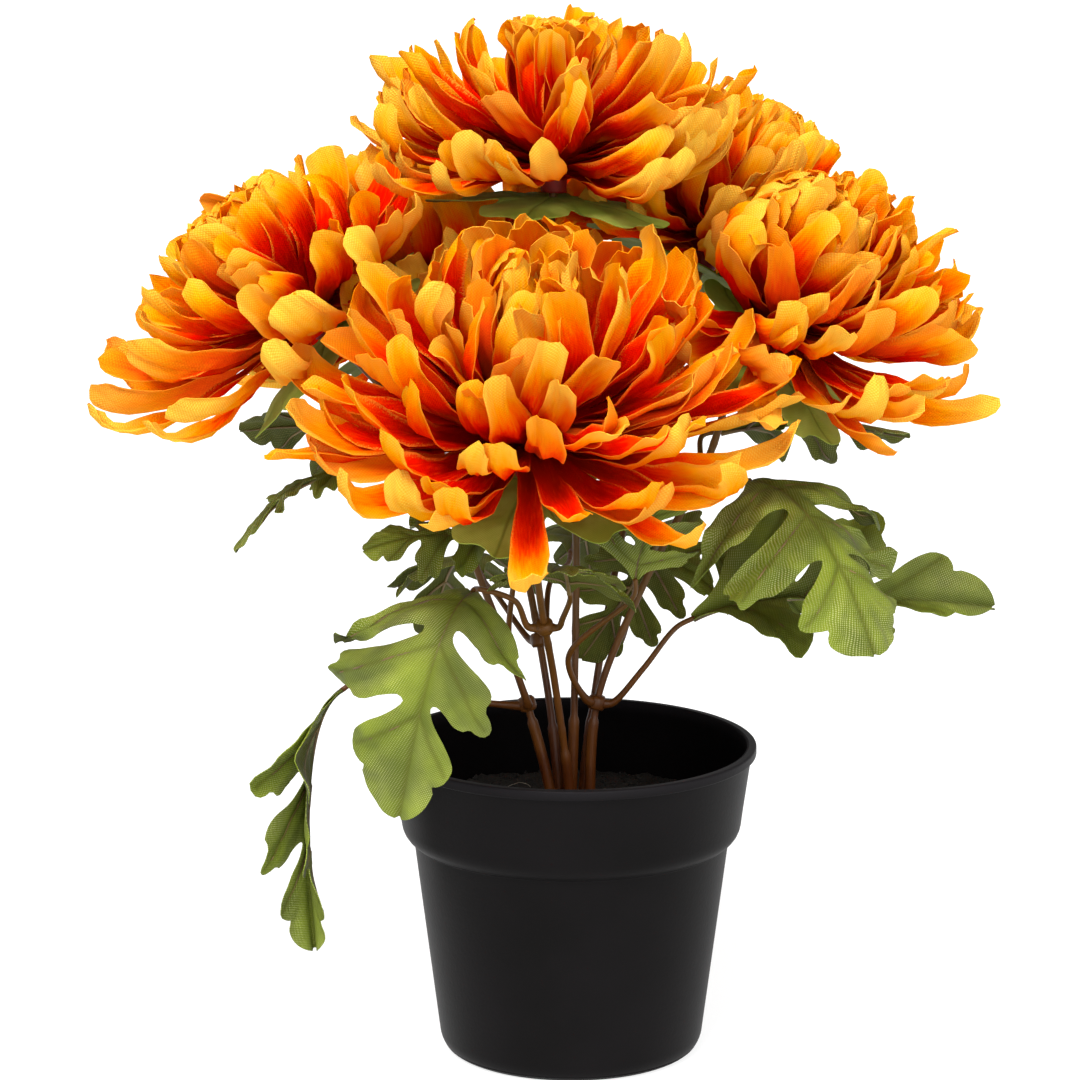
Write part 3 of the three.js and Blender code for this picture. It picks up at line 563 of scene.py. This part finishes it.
def off_line(x, y, start, end):
    """Distance of (x, y) from a line between two points, in shader maths or in numpy."""
    span = end - start
    reach = float(span @ span)
    along = ((x - start[0]) * span[0] + (y - start[1]) * span[1]) / reach
    if isinstance(along, Shade):
        along = along.math("MINIMUM", along.math("MAXIMUM", along, 0.0), 1.0)
        dx, dy = x - start[0] - along * span[0], y - start[1] - along * span[1]
        return along.math("SQRT", dx * dx + dy * dy)
    along = np.clip(along, 0, 1)
    return np.hypot(x - start[0] - along * span[0], y - start[1] - along * span[1])


def leaf_finish(name, dyes, see_through):
    """Woven green cloth: mottled from deep to light, pale on top of the threads and dark on the veins.
    The pale tops of the threads are partly their own colour and partly painted sheen, strongest in
    patches, and painted shade darkens the cloth beside the veins."""
    deep, light, thread_and_sheen, vein = map(dye, dyes)
    material, shade = new_finish(name)
    blade = shade.add("UVMap", {"uv_map": "blade"})
    cloth = shade.add("UVMap", {"uv_map": "cloth"})
    along, out, _ = shade.add("SeparateXYZ", None, {0: blade}, None)
    out = shade.math("ABSOLUTE", out)
    away = out
    for start, end in LEAF_VEINS:
        away = shade.math("MINIMUM", away, off_line(along, out, start, end))
    groove = 1 - away.ramp(0.0, 0.014)
    # Painted shade: the cloth is darkened in a band beside the veins.
    painted_vein_shade = 1 - away.ramp(0.0, 0.08)
    side = shade.math("SINE", (along - 0.85 * out) * 95.0) * away.ramp(0.015, 0.06)
    threads = weave(shade, cloth, 0.8)
    fine = shade.noise(1.6, 2.0, cloth)
    blot = shade.noise(60.0, 3.0)
    tint = blot.ramp(0.3, 0.72).mix(deep, light)
    # Patches where the pale tops of the threads show more strongly: painted sheen.
    pale = shade.noise(34.0, 2.0).ramp(0.36, 0.66)
    # The pale tops of the threads: partly the cloth's own colour and partly painted sheen.
    tint = ((0.34 + 0.36 * pale) * threads.ramp(0.45, 0.95)).mix(tint, thread_and_sheen)
    tint = (0.35 * fine.ramp(0.5, 0.8)).mix(tint, deep)
    # Painted shade beside the veins.
    tint = (0.4 * painted_vein_shade).mix(tint, deep)
    tint = (0.45 * groove).mix(tint, vein)
    relief = 0.30 * threads + 0.10 * fine + 0.12 * side - 0.35 * groove
    face = shade.face(tint, 0.46 + 0.2 * threads, 0.2, relief, 0.0006, 0.8)
    shade.shine_through(see_through, face, light)
    return material


leaf_upper = leaf_finish("leaf_upper", ("4a5804", "7f9018", "dcdc98", "4a4a08"), 0.22)
# The underside's dyes are greyer and darker than the upper face's: partly the cloth's own back and
# partly painted shade.
leaf_under = leaf_finish("leaf_under", ("3c4204", "5c6212", "a6a864", "46340c"), 0.24)


def smooth(share, low, high):
    """0 below low, 1 above high and an S between them."""
    t = np.clip((share - low) / (high - low), 0, 1)
    return t * t * (3 - 2 * t)


def midrib(leaf, share):
    """A leaf's midrib at shares of its length: place, way to the left and way up. It is a curve
    from root to tip drawn towards a third point, measured along its length."""
    root, over, tip = (np.array(leaf[k], float) for k in ("root", "over", "tip"))
    t = np.linspace(0, 1, 241)[:, None]
    curve = (1 - t) ** 2 * root + 2 * t * (1 - t) * over + t ** 2 * tip
    slope = (1 - t) * (over - root) + t * (tip - over)
    length = np.concatenate([[0], np.cumsum(np.linalg.norm(np.diff(curve, axis=0), axis=1))])
    want = np.clip(share, 0, 1) * length[-1]
    place = np.stack([np.interp(want, length, curve[:, k]) for k in range(3)], -1)
    ahead = np.stack([np.interp(want, length, slope[:, k]) for k in range(3)], -1)
    ahead /= np.linalg.norm(ahead, axis=-1, keepdims=True)
    face = np.array(leaf["face"], float)
    up = face - (ahead @ face)[..., None] * ahead
    up /= np.linalg.norm(up, axis=-1, keepdims=True)
    return place, np.cross(up, ahead), up, length[-1]


def blade_point(leaf, share, out, seed):
    """Points of a blade. From the midrib each half bends down along an arc of its own droop and is
    folded up by the leaf's angle, which may differ at the first lobes and the tip. It ripples, each
    lobe hangs or lifts a little, and the veins are pressed in. Beside them the cloth swells, and
    further out it falls away."""
    place, left, up, length = midrib(leaf, share)
    out = out * np.where(out > 0, *leaf.get("wide", (1, 1)))
    reach = np.abs(out)
    draw = np.random.default_rng(seed)
    phase, hang = draw.uniform(0, 6.28, 4), draw.uniform(-1.9, 0.4, (2, 3))
    ripple = 0.014 * np.sin(14 * share + 4 * np.sign(out) + phase[2]) * reach / 0.3
    ripple += 0.012 * np.sin(31 * share + 9 * out + phase[0]) * (reach / 0.22) ** 2
    ripple += 0.006 * np.sin(63 * share - 17 * out + phase[1]) * reach / 0.22
    off = np.array([off_line(share, reach, *vein) for vein in LEAF_VEINS])
    away = np.minimum(off.min(0), reach)
    pressed = 0.006 * np.exp(-(away / 0.014) ** 2)
    swell = 0.016 * (1 - np.exp(-(away / 0.035) ** 2)) - 3.5 * np.minimum(away, 0.1) ** 2
    near = np.exp(-(off / 0.12) ** 2)
    own = np.where(out > 0, *np.tensordot(hang, near, 1)) * reach ** 2
    droop = np.where(out > 0, *leaf.get("droop", (1.4, 1.4)))
    first, main, last = np.broadcast_to(leaf["fold"], 3)
    fold = first + (main - first) * smooth(share, 0.15, 0.38) + (last - main) * smooth(share, 0.55, 0.9)
    fold = np.radians(fold)
    flat, drop = np.sin(droop * reach) / droop, (np.cos(droop * reach) - 1) / droop
    drop = drop + leaf.get("waves", 1) * (ripple + swell + own) - pressed
    aside = np.sign(out) * (flat * np.cos(fold) - drop * np.sin(fold))
    rise = flat * np.sin(fold) + drop * np.cos(fold)
    return place + left * (length * aside)[..., None] + up * (length * rise)[..., None]


def leaf_grid(steps=110, lines=9):
    """Shares (along, out) over a whole leaf: lines run from the midrib to both edges, as many as
    there are steps along the edge, and rows of points cross them."""
    edge = smooth_path(LEAF_EDGE, steps)
    far = np.linspace(-1, 1, 2 * lines + 1)[None, :, None]
    start, end = (edge[:, 2:] * [1, 0])[:, None], edge[:, None, :2]
    grid = start + np.abs(far) * (end - start)
    grid[..., 1] *= np.sign(far[..., 0] + 1e-9)
    return grid


def sharp_rims(piece):
    """Marks the open edges sharp, so that the cut edge of the cloth doesn't shade its faces."""
    mesh = piece.data
    edges = np.empty(len(mesh.loops), np.int32)
    mesh.loops.foreach_get("edge_index", edges)
    alone = np.bincount(edges, minlength=len(mesh.edges)) == 1
    mesh.attributes.new("sharp_edge", "BOOLEAN", "EDGE").data.foreach_set("value", alone)


def thicken(piece, thickness):
    """Gives cloth its thickness below its upper face, with its second finish underneath."""
    sharp_rims(piece)
    solid = piece.modifiers.new("thickness", "SOLIDIFY")
    solid.thickness, solid.offset = thickness * 0.001, -1
    solid.material_offset = 1


grid = leaf_grid()
along, out = np.moveaxis(grid, -1, 0)
faces = grid_faces(*grid.shape[:2])[:, ::-1]
# The weave runs across the leaf at a slant.
turned_cloth = np.stack([along + 0.6 * out, out - 0.6 * along], -1)
leaves = [leaf for collar in COLLARS.values() for leaf in collar["leaves"]]
for index, leaf in enumerate(leaves):
    points = blade_point(leaf, along, out, LEAF_SEED + index)
    length = midrib(leaf, 0)[3]
    blade = make("blade_" + leaf["name"], points, faces, leaf_upper, leaf_under,
                 maps={"blade": grid, "cloth": 0.86 * length * turned_cloth})
    thicken(blade, LEAF_THICKNESS)
    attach(blade, "root")
    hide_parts("leaf_" + leaf["name"])


def patchy_finish(name, scale, low, high, rough, depth):
    """Plastic in two tones that vary in soft patches."""
    material, shade = new_finish(name)
    patch = shade.noise(scale, 3.0)
    tint = patch.ramp(0.3, 0.7).mix(low, high)
    shade.shine(shade.face(tint, rough + 0.2 * patch, 0.5, patch, depth))
    return material


rib_plastic = patchy_finish("rib_plastic", 90.0, dye("4d3a1c"), dye("6f5a2c"), 0.45, 0.0002)

# Radius of the rib at the root of the midrib, at the root of a vein and at each end.
RIB_MAIN, RIB_SIDE, RIB_END = 0.75, 0.5, 0.22

parts = []
for index, leaf in enumerate(leaves):
    lines = [(RIB_MAIN, np.linspace(0, 0.96, 40)[:, None] * [1, 0])]
    lines += [(RIB_SIDE, start + np.linspace(0, 0.92, 24)[:, None] * (end - start) * [1, hand])
              for start, end in LEAF_VEINS for hand in (1, -1)]
    for root, line in lines:
        path = blade_point(leaf, line[:, 0], line[:, 1], LEAF_SEED + index)
        below = midrib(leaf, line[:, 0])[2]
        thick = np.linspace(root, RIB_END, len(line))
        parts.append(tube(path - below * (LEAF_THICKNESS + 0.35 * thick[:, None]), thick, 8))
ribs = make("leaf_ribs", *joined(parts), rib_plastic)
weld(ribs)
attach(ribs, "root")

# ---- Rosettes ----------------------------------------------------------------------------------
# Under each bloom a flat ring of five green lobes, punched from the same cloth as the leaves and
# threaded on the stem up to the bloom's foot.

ROSETTE_RADIUS = 42
ROSETTE_HOLE = 1.6
ROSETTE_DROP = 4
ROSETTE_LOBES = 5
ROSETTE_ROWS = 14
ROSETTE_SEGMENTS = 240
# Edge of one lobe from notch to notch, as shares of the radius at even turns.
ROSETTE_EDGE = [0.40, 0.70, 0.86, 0.93, 0.91, 0.84, 0.93, 1.0, 0.97, 0.88, 0.80, 0.62]


def rosette_finish(name, deep, light, vein, see_through):
    """The leaves' cloth with a pressed vein down each lobe and short ones beside it. The pale tops of
    its threads are partly their own colour and partly painted sheen.
    """
    material, shade = new_finish(name)
    blade = shade.add("UVMap", {"uv_map": "blade"})
    cloth = shade.add("UVMap", {"uv_map": "cloth"})
    along, out, _ = shade.add("SeparateXYZ", None, {0: blade}, None)
    out = shade.math("ABSOLUTE", out)
    groove = 1 - out.ramp(0.0, 0.9)
    side = shade.math("SINE", (along - 0.8 * out) * 1.3) * out.ramp(0.6, 2.5)
    threads = weave(shade, cloth, 0.85)
    fine = shade.noise(2.3, 2.0, cloth)
    tint = shade.noise(70.0, 3.0).ramp(0.3, 0.72).mix(deep, light)
    # Paler tops of the threads: partly the cloth's own colour and partly painted sheen.
    tint = (0.32 * threads).mix(tint, tuple(min(1.0, 1.6 * c) for c in light))
    tint = (0.3 * fine.ramp(0.5, 0.8)).mix(tint, deep)
    tint = (0.6 * groove).mix(tint, vein)
    relief = 0.3 * threads + 0.15 * side - 0.4 * groove
    face = shade.face(tint, 0.62 + 0.2 * threads, 0.12, relief, 0.0006, 0.8)
    shade.shine_through(see_through, face, light)
    return material


# The upper face's dyes are lighter than the leaves' cloth: painted light on rosettes that sit in the
# blooms' shadow.
rosette_upper = rosette_finish("rosette_upper", dye("7c9428"), dye("b4c458"), dye("5c6416"), 0.34)
rosette_under = rosette_finish("rosette_under", dye("566020"), dye("788040"), dye("4a4a1c"), 0.3)

def rosette_grid(draw):
    """A rosette as rows of x, y, height, radius and place in the lobe, from -0.5 to 0.5. Its lobes
    reach a little further or less by chance. It falls with the square of the radius, each lobe
    hangs or lifts towards its end, and a groove runs down it among fine waves."""
    def blurred(values, reach):
        return np.mean([np.roll(values, k, axis=1) for k in range(-reach, reach + 1)], axis=0)

    points = len(ROSETTE_EDGE)
    edge = np.tile(ROSETTE_EDGE, ROSETTE_LOBES)
    edge = edge * draw.uniform(0.95, 1.02, (ROSETTE_LOBES, 1)).repeat(points)
    turn = np.linspace(0, 2 * np.pi, ROSETTE_SEGMENTS, endpoint=False)[None]
    knots = np.arange(len(edge) + 1) / len(edge) * 2 * np.pi
    reach = blurred(np.interp(turn, knots, np.append(edge, edge[0])), 3)
    share = np.linspace(0, 1, ROSETTE_ROWS)[:, None]
    radius = ROSETTE_HOLE + (ROSETTE_RADIUS * reach - ROSETTE_HOLE) * share
    lobe = (turn * ROSETTE_LOBES / (2 * np.pi) - 0.05) % 1 - 0.5
    which = (turn * ROSETTE_LOBES / 6.2832).astype(int) % ROSETTE_LOBES
    wave = blurred(draw.uniform(-2.4, 2.4, ROSETTE_LOBES)[which], 8)
    height = -ROSETTE_DROP * (radius / ROSETTE_RADIUS) ** 2 + wave * share ** 2
    height += 0.5 * np.sin(radius / 3.1 + 6 * lobe) * share - 0.7 * np.exp(-(lobe / 0.05) ** 2) * share
    return radius * np.cos(turn), radius * np.sin(turn), height, radius, lobe


for index, name in enumerate(STEMS):
    x, y, height, radius, lobe = rosette_grid(np.random.default_rng(90 + index))
    first, second, axis = axes_of(name)
    middle = np.array(STEMS[name]["foot"], float) - 1.4 * axis
    points = middle + x[..., None] * first + y[..., None] * second + height[..., None] * axis
    maps = {"blade": np.stack([radius, lobe * radius * 1.2566], -1), "cloth": np.stack([x, y], -1)}
    faces = grid_faces(ROSETTE_ROWS, ROSETTE_SEGMENTS, True)[:, ::-1]
    rosette = make("calyx_" + name, points, faces, rosette_upper, rosette_under, maps=maps)
    thicken(rosette, LEAF_THICKNESS)
    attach(rosette, "root")
    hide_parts("rosette_" + name)

# ---- Blooms ------------------------------------------------------------------------------------
# Layers of petals punched from woven polyester, dyed deep red at the root and golden at the tip,
# and pressed hot into cups. They are threaded on a plastic core that the stem runs into.

PETAL_THICKNESS = 0.2
PETAL_ROWS = 13
PETAL_COLUMNS = 9
PETAL_STEPS = 48  # of the sums that give a petal's middle line
BLOOM_MIDDLE = 36
# Layers from the outermost in: how many petals, height of their roots, the angle they stand at
# from the axis, how far they curl back in, their length and their width.
LAYERS = [
    (21, 4, 100, 58, 75, 13), (20, 5, 91, 55, 74, 13.5), (19, 6, 81, 52, 72, 13.5),
    (17, 7, 71, 50, 70, 13.5), (16, 8, 61, 50, 68, 13.5), (14, 9, 50, 50, 65, 13),
    (12, 10, 40, 48, 62, 13), (10, 11, 30, 44, 59, 12.5), (8, 12, 19, 36, 56, 12),
    (5, 12.5, 8, 24, 53, 11.5),
]
# How much wider each bloom opens, its size, how high its middle stands, the room it takes from its
# neighbours and how far its petals reach in among the next bloom's. Its crown is the height that no
# petal passes: the most it is, the x where it is that and how fast it falls off to both sides.
# upright is a heading, how many degrees more the petals that way stand up, and how many more those
# the other way lean out. raised lifts the roots and red is how much further out the red runs, partly
# the bloom's own dye and partly painted shade that deepens its shaded tones.
BLOOMS = {
    "top": dict(opening=-3, size=0.94, dome=1.04, room=1, crown=(336, 0, 0), crossing=12,
                upright=(270, -12, 0), red=0.04),
    "front": dict(opening=-5, size=1.16, dome=0.92, room=1.5, crown=(283, 0, 0), crossing=10,
                  upright=(80, 8, 4), raised=5, red=0.05),
    "left": dict(opening=2, size=1.08, dome=0.74, room=1, crown=(298, -62, 0.0075), crossing=16,
                 upright=(185, 24, 0), red=0.08),
    "right": dict(opening=5, size=1.02, dome=0.88, room=1.2, crown=(290, 80, 0.009), crossing=20,
                  upright=(330, 14, 0), red=0.04),
    "right_rear": dict(opening=2, size=1, dome=0.92, room=1, crown=(312, 34, 0.008), crossing=38,
                       upright=(240, -15, 0), red=0.05),
    "left_rear": dict(opening=4, size=1.04, dome=0.86, room=1, crown=(292, -40, 0.006), crossing=38,
                      upright=(0, 0, 0), red=0.05),
}
OUTER_PALER = 0.15  # how much less far the red runs in the outermost layer


def petals_of(name, index):
    """The petals of a bloom as one array to each measure, with a little chance in each. Those
    nearer the middle are shorter where its dome is low."""
    bloom = BLOOMS[name]
    draw = np.random.default_rng(500 + index)
    rows = [(*layer, level, i) for level, layer in enumerate(LAYERS) for i in range(layer[0])]
    count, root, angle, curl, length, width, level, place = np.array(rows, float).T
    many = len(rows)
    size = bloom["size"] * (1 - (1 - bloom["dome"]) * np.clip(level / 5, 0, 1))
    heading, most, least = bloom["upright"]
    toward = np.cos(2 * np.pi * place / count - np.radians(heading))
    upright = np.where(toward > 0, most, least) * toward
    return dict(
        root=root + bloom.get("raised", 0), level=level,
        angle=angle + bloom["opening"] + draw.normal(0, 6, many) - upright,
        curl=curl + draw.normal(0, 18, many),
        length=length * size * draw.uniform(0.84, 1.06, many),
        width=width * bloom["size"] ** 0.5 * draw.uniform(0.78, 1.15, many),
        turn=2 * np.pi * (place + 0.5 * (level % 2) + draw.normal(0, 0.22, many)) / count,
        sway=draw.normal(0, 0.12, many),
        twist=draw.normal(0, 0.50, many),
        cup=draw.uniform(0.7, 1.4, many),
        flick=draw.normal(-14, 30, many) - 9 * np.clip(4 - level, 0, 4),
        point=draw.random(many) ** 4,
        phase=draw.uniform(0, 6.28, many),
        tone=draw.random(many),
    )


def petal_points(p):
    """Points of petals as (petal, row, column, xyz) in the bloom's frame, its axis along Z, with the
    shares along and across and the distance from the middle line on the flat cloth. A petal's lean
    from the axis swings out to its angle close to the root and comes back by the curl; its reach
    and rise are the running sums of the lean's sine and cosine. Across, it is an arc of the cup's
    angle with a groove in its middle, folds and a waved edge. Its end is rounded off or pointed by
    how far the sides fall short of the middle. The outer layers start wider open, curl later and
    widen further out."""
    p = {k: np.asarray(v)[:, None, None] for k, v in p.items()}
    s = np.linspace(0, 1, PETAL_STEPS + 1)[None, :, None]
    outer = np.clip(4 - p["level"], 0, 4)
    start = np.minimum(35 + 9 * outer, p["angle"])
    lean = start + (p["angle"] - start) * smooth(s * p["length"], 0, 20)
    lean = lean - p["curl"] * s ** (1.6 + 0.3 * outer)
    lean = np.radians(lean + p["flick"] * np.clip((s - 0.72) / 0.28, 0, 1) ** 1.5)
    step = p["length"] / PETAL_STEPS
    zero = np.zeros_like(lean[:, :1])
    reach = 2.6 + np.concatenate([zero, np.cumsum(np.sin(lean) * step, 1)[:, :-1]], 1)
    rise = p["root"] + np.concatenate([zero, np.cumsum(np.cos(lean) * step, 1)[:, :-1]], 1)

    k = np.linspace(0, 1, PETAL_ROWS)[None, :, None]
    share = 1 - (1 - k) ** 1.35
    w = np.sin(np.linspace(-np.pi / 2, np.pi / 2, PETAL_COLUMNS))[None, None]
    half = p["width"] / 2 * (0.48 + 0.52 * smooth(share, 0.06 + 0.04 * outer, 0.58 + 0.04 * outer))
    half = half * (1 - (0.06 + 0.26 * p["point"]) * smooth(share, 0.6, 1))
    half = half * (1 + 0.06 * np.sin(77 * k + 5 * p["phase"]) * smooth(share, 0.4, 0.6))
    rounding = 1 - np.sqrt(1 - 0.94 * w ** 2)
    fall = (1 - p["point"]) * 0.9 * rounding + p["point"] * 1.7 * np.abs(w) ** 1.2
    share = share - fall * half / p["length"] * smooth(share, 0.45, 1.0)

    at = np.clip(share * PETAL_STEPS, 0, PETAL_STEPS - 1e-6)
    low = at.astype(int)
    part = at - low

    def along(line):
        line = line[..., 0]
        pick = np.arange(len(line))[:, None, None]
        return line[pick, low] * (1 - part) + line[pick, low + 1] * part

    reach, rise, lean = along(reach), along(rise), along(lean)
    bend = p["cup"] * (0.75 + 0.35 * smooth(share, 0.5, 1)) * (1 - 0.35 * smooth(share, 0, 0.3)) + 1e-3
    arc = half / bend
    sideways, lift = arc * np.sin(bend * w), arc * (1 - np.cos(bend * w))
    edge = w ** 2 * smooth(share, 0.3, 0.6)
    lift = lift + 0.09 * half * edge * np.sin(9 * share + p["phase"] + 1.7 * np.sign(w))
    lift = lift + 0.13 * half * np.cos(7 * w + 0.6 * p["phase"]) * smooth(share, 0.25, 0.5)
    groove = np.exp(-(w / 0.22) ** 2) * smooth(share, 0.05, 0.3) * (1 - smooth(share, 0.6, 0.95))
    folds = np.sin(share * p["length"] / 4.1 + 2.6 * w + p["phase"]) * smooth(share, 0.1, 0.4)
    lift = lift - 0.7 * groove + 0.8 * folds
    twist = p["twist"] * share
    tilted = sideways * np.cos(twist) - lift * np.sin(twist)
    lift = sideways * np.sin(twist) + lift * np.cos(twist)
    tilted = tilted + p["sway"] * p["length"] * share ** 2
    outward = reach - lift * np.cos(lean)
    height = rise + lift * np.sin(lean)
    x = outward * np.cos(p["turn"]) - tilted * np.sin(p["turn"])
    y = outward * np.sin(p["turn"]) + tilted * np.cos(p["turn"])
    return np.stack([x, y, height], -1), share, w + 0 * share, half * w


def placed(points, name):
    """Points in a bloom's frame carried to where the bloom is."""
    return np.array(STEMS[name]["foot"], float) + points @ np.array(axes_of(name))


def settled(p, name):
    """Bends the petals in, a little at a time and shorter as they bend, until each keeps its own
    side of the planes between this bloom and the others, stays off the rosette and below the
    crown. Those of the front bloom also stay under the top bloom's rosette."""
    def middle(of):
        return np.array(STEMS[of]["foot"]) + BLOOM_MIDDLE * axes_of(of)[2]

    here = middle(name)
    room, crown, crossing = (BLOOMS[name][k] for k in ("room", "crown", "crossing"))
    others = [other for other in STEMS if other != name]
    across = np.array([middle(other) - here for other in others])
    distance = np.linalg.norm(across, axis=1)
    limit = distance * room / (room + np.array([BLOOMS[other]["room"] for other in others])) + crossing
    p = dict(p)
    free = np.ones(len(p["angle"]), bool)
    length, angle = p["length"].copy(), p["angle"].copy()
    for bend in np.arange(0, 96, 4):
        now = dict(p)
        now["angle"] = np.where(free, angle - bend, p["angle"])
        now["length"] = np.where(free, length * (1 - bend / 260), p["length"])
        now["curl"] = np.minimum(p["curl"], now["angle"] + 26)
        local = petal_points(now)[0]
        reach = np.hypot(local[..., 0], local[..., 1])
        outside = (local[..., 2] < -2 - ROSETTE_DROP * (reach / ROSETTE_RADIUS) ** 2) & (reach < 38)
        world = placed(local, name)
        beyond = ((world - here) @ (across / distance[:, None]).T > limit).any(-1)
        roof = crown[0] - crown[2] * (world[..., 0] - crown[1]) ** 2
        under_top = (world - np.array(STEMS["top"]["foot"])) @ np.array(axes_of("top")).T
        x, y, z = np.moveaxis(under_top, -1, 0)
        through = (name == "front") & (np.hypot(x, y) < ROSETTE_RADIUS + 3) & (z > -ROSETTE_DROP - 4)
        blocked = (outside | beyond | (world[..., 2] > roof) | through).any((1, 2))
        for key in ("angle", "length", "curl"):
            p[key] = np.where(free, now[key], p[key])
        free &= blocked
        if not free.any():
            break
    return p


def petal_finish(name, red):
    """Woven cloth dyed from deep red at the root to gold at the tip. red is how much further out
    the red runs; for the inner faces this is partly painted shade."""
    material, shade = new_finish(name)
    cloth = shade.add("UVMap", {"uv_map": "cloth"})
    dyed = shade.add("Attribute", {"attribute_name": "petal"}, output=1)
    share, across, tone = shade.add("SeparateXYZ", None, {0: dyed}, None)
    across = shade.math("ABSOLUTE", across)
    blot = shade.noise(38.0, 3.0)
    fibre = shade.noise(1.0, 2.0, shade.add("Mapping", None, {0: cloth, 3: (1.6, 0.16, 1)}))
    crease = shade.noise(1.0, 1.0, shade.add("Mapping", None, {0: cloth, 3: (0.42, 0.07, 1)}))
    threads = weave(shade, cloth, 1.0).ramp(0.3, 0.75)
    run = share - red + 0.17 * (tone - 0.5) + 0.20 * (blot - 0.5) + 0.20 * (fibre - 0.5)
    run = run + 0.12 * across ** 2.0
    tint = shade.add("ValToRGB", {"stops": [
        (0.33, dye("a40200")), (0.55, dye("e81200")), (0.65, dye("fc4800")), (0.73, dye("fe8c00")),
        (0.82, dye("febe0c")), (1.0, dye("ffe258"))]}, {0: run})
    pink = shade.math("FRACT", tone * 7.31).ramp(0.82, 0.92)
    tint = (0.4 * pink).mix(tint, dye("fc7a22"))
    tint = (0.7 * (1 - threads)).mix(tint, (0.92, 0.62, 0.12), "MULTIPLY")
    tint = (0.3 * fibre.ramp(0.5, 0.85)).mix(tint, dye("ec5a04"))
    rim = (across + 0.7 * (shade.noise(1.9, 2.0, cloth) - 0.5)).ramp(0.86, 0.98)
    tint = (0.5 * rim * run.ramp(0.35, 0.6)).mix(tint, dye("ffc43c"))
    relief = 0.10 * threads + 0.22 * fibre + 0.8 * crease
    face = shade.face(tint, 0.6 + 0.2 * threads, 0.0, relief, 0.0012)
    shade.shine_through(0.15 + 0.22 * run.ramp(0.45, 0.85), face, (1.0, 0.34, 0.01))
    return material


# The inner faces' red runs further out: partly their own dye and partly the painted red shade inside
# the cups.
petal_inner = petal_finish("petal_inner", 0.07)
petal_outer = petal_finish("petal_outer", 0.0)

core_plastic = patchy_finish("core_plastic", 120.0, dye("6e0a03"), dye("a81806"), 0.5, 0.0003)
# From foot to top: radius, height and how far the corner is rounded.
CORE_PROFILE = np.array([
    [0, 0, 0], [4, 0, 0.8], [4.6, 9, 1.5], [3.4, 15, 1.5], [2.6, 24, 1], [0, 26, 0],
])
core_points = turned(rounded(CORE_PROFILE, 4), 20)
core_faces = grid_faces(*core_points.shape[:2], True)

for index, name in enumerate(STEMS):
    petals = petals_of(name, index)
    points, share, across, spread = petal_points(settled(petals, name))
    tone = petals["tone"][:, None, None] + 0 * share
    length = petals["length"][:, None, None]
    # Each bloom's red runs further out by its red: partly its own dye and partly painted shade.
    dyed = share - BLOOMS[name]["red"] + OUTER_PALER * (petals["level"] < 1)[:, None, None]
    faces = grid_faces(PETAL_ROWS, PETAL_COLUMNS, copies=len(points))[:, ::-1]
    bloom = make("petals_" + name, placed(points, name), faces, petal_inner, petal_outer,
                 maps={"cloth": np.stack([spread, share * length], -1)},
                 marks={"petal": np.stack([dyed, across, tone], -1)})
    thicken(bloom, PETAL_THICKNESS)
    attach(bloom, "root")
    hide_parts("bloom_" + name)
    core = make("core_" + name, placed(core_points, name), core_faces, core_plastic)
    weld(core)
    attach(core, "root")

# ---- Studio ------------------------------------------------------------------------------------
# A white floor in even white light, with a large soft light from the front left above, a weaker
# one from the front right, and a long lens that looks slightly down on the plant.

white_floor, shade = new_finish("white_floor")
shade.shine(shade.add("BsdfPrincipled", None, {
    "Base Color": shade.noise(3.0).mix((0.30, 0.30, 0.30), (0.31, 0.31, 0.31)), "Roughness": 0.8,
    "Specular IOR Level": 0.2, "Emission Color": (1.0, 1.0, 1.0, 1.0), "Emission Strength": 0.8,
}))
corners = np.array([[-9000, -4000, 0], [9000, -4000, 0], [9000, 14000, 0], [-9000, 14000, 0]])
floor = make("floor", corners, [[0, 1, 2, 3]], white_floor)

world = bpy.data.worlds.new("studio")
world.use_nodes = True
world.node_tree.nodes["Background"].inputs["Color"].default_value = (1.0, 1.0, 1.0, 1.0)
world.node_tree.nodes["Background"].inputs["Strength"].default_value = 0.53
bpy.context.scene.world = world


def soft_sun(name, toward, spread, strength):
    """An even light that comes from a direction, as soft as its spread in degrees."""
    light = bpy.data.lights.new(name, "SUN")
    light.angle, light.energy = np.radians(spread), strength
    lamp = bpy.data.objects.new(name, light)
    lamp.rotation_euler = Vector(toward).to_track_quat("Z", "Y").to_euler()
    bpy.context.scene.collection.objects.link(lamp)


soft_sun("key", (-0.35, -0.65, 1.05), 30, 4.3)
soft_sun("fill", (0.35, -1.0, 0.55), 60, 2.2)

lens = bpy.data.cameras.new("camera")
lens.sensor_width, lens.lens = 36, 159.4
camera = bpy.data.objects.new("camera", lens)
camera.location = (-0.0102, -1.5, 0.49965)
camera.rotation_euler = (np.radians(77.576), 0, 0)
bpy.context.scene.collection.objects.link(camera)
bpy.context.scene.camera = camera
bpy.context.scene.view_settings.view_transform = "Standard"
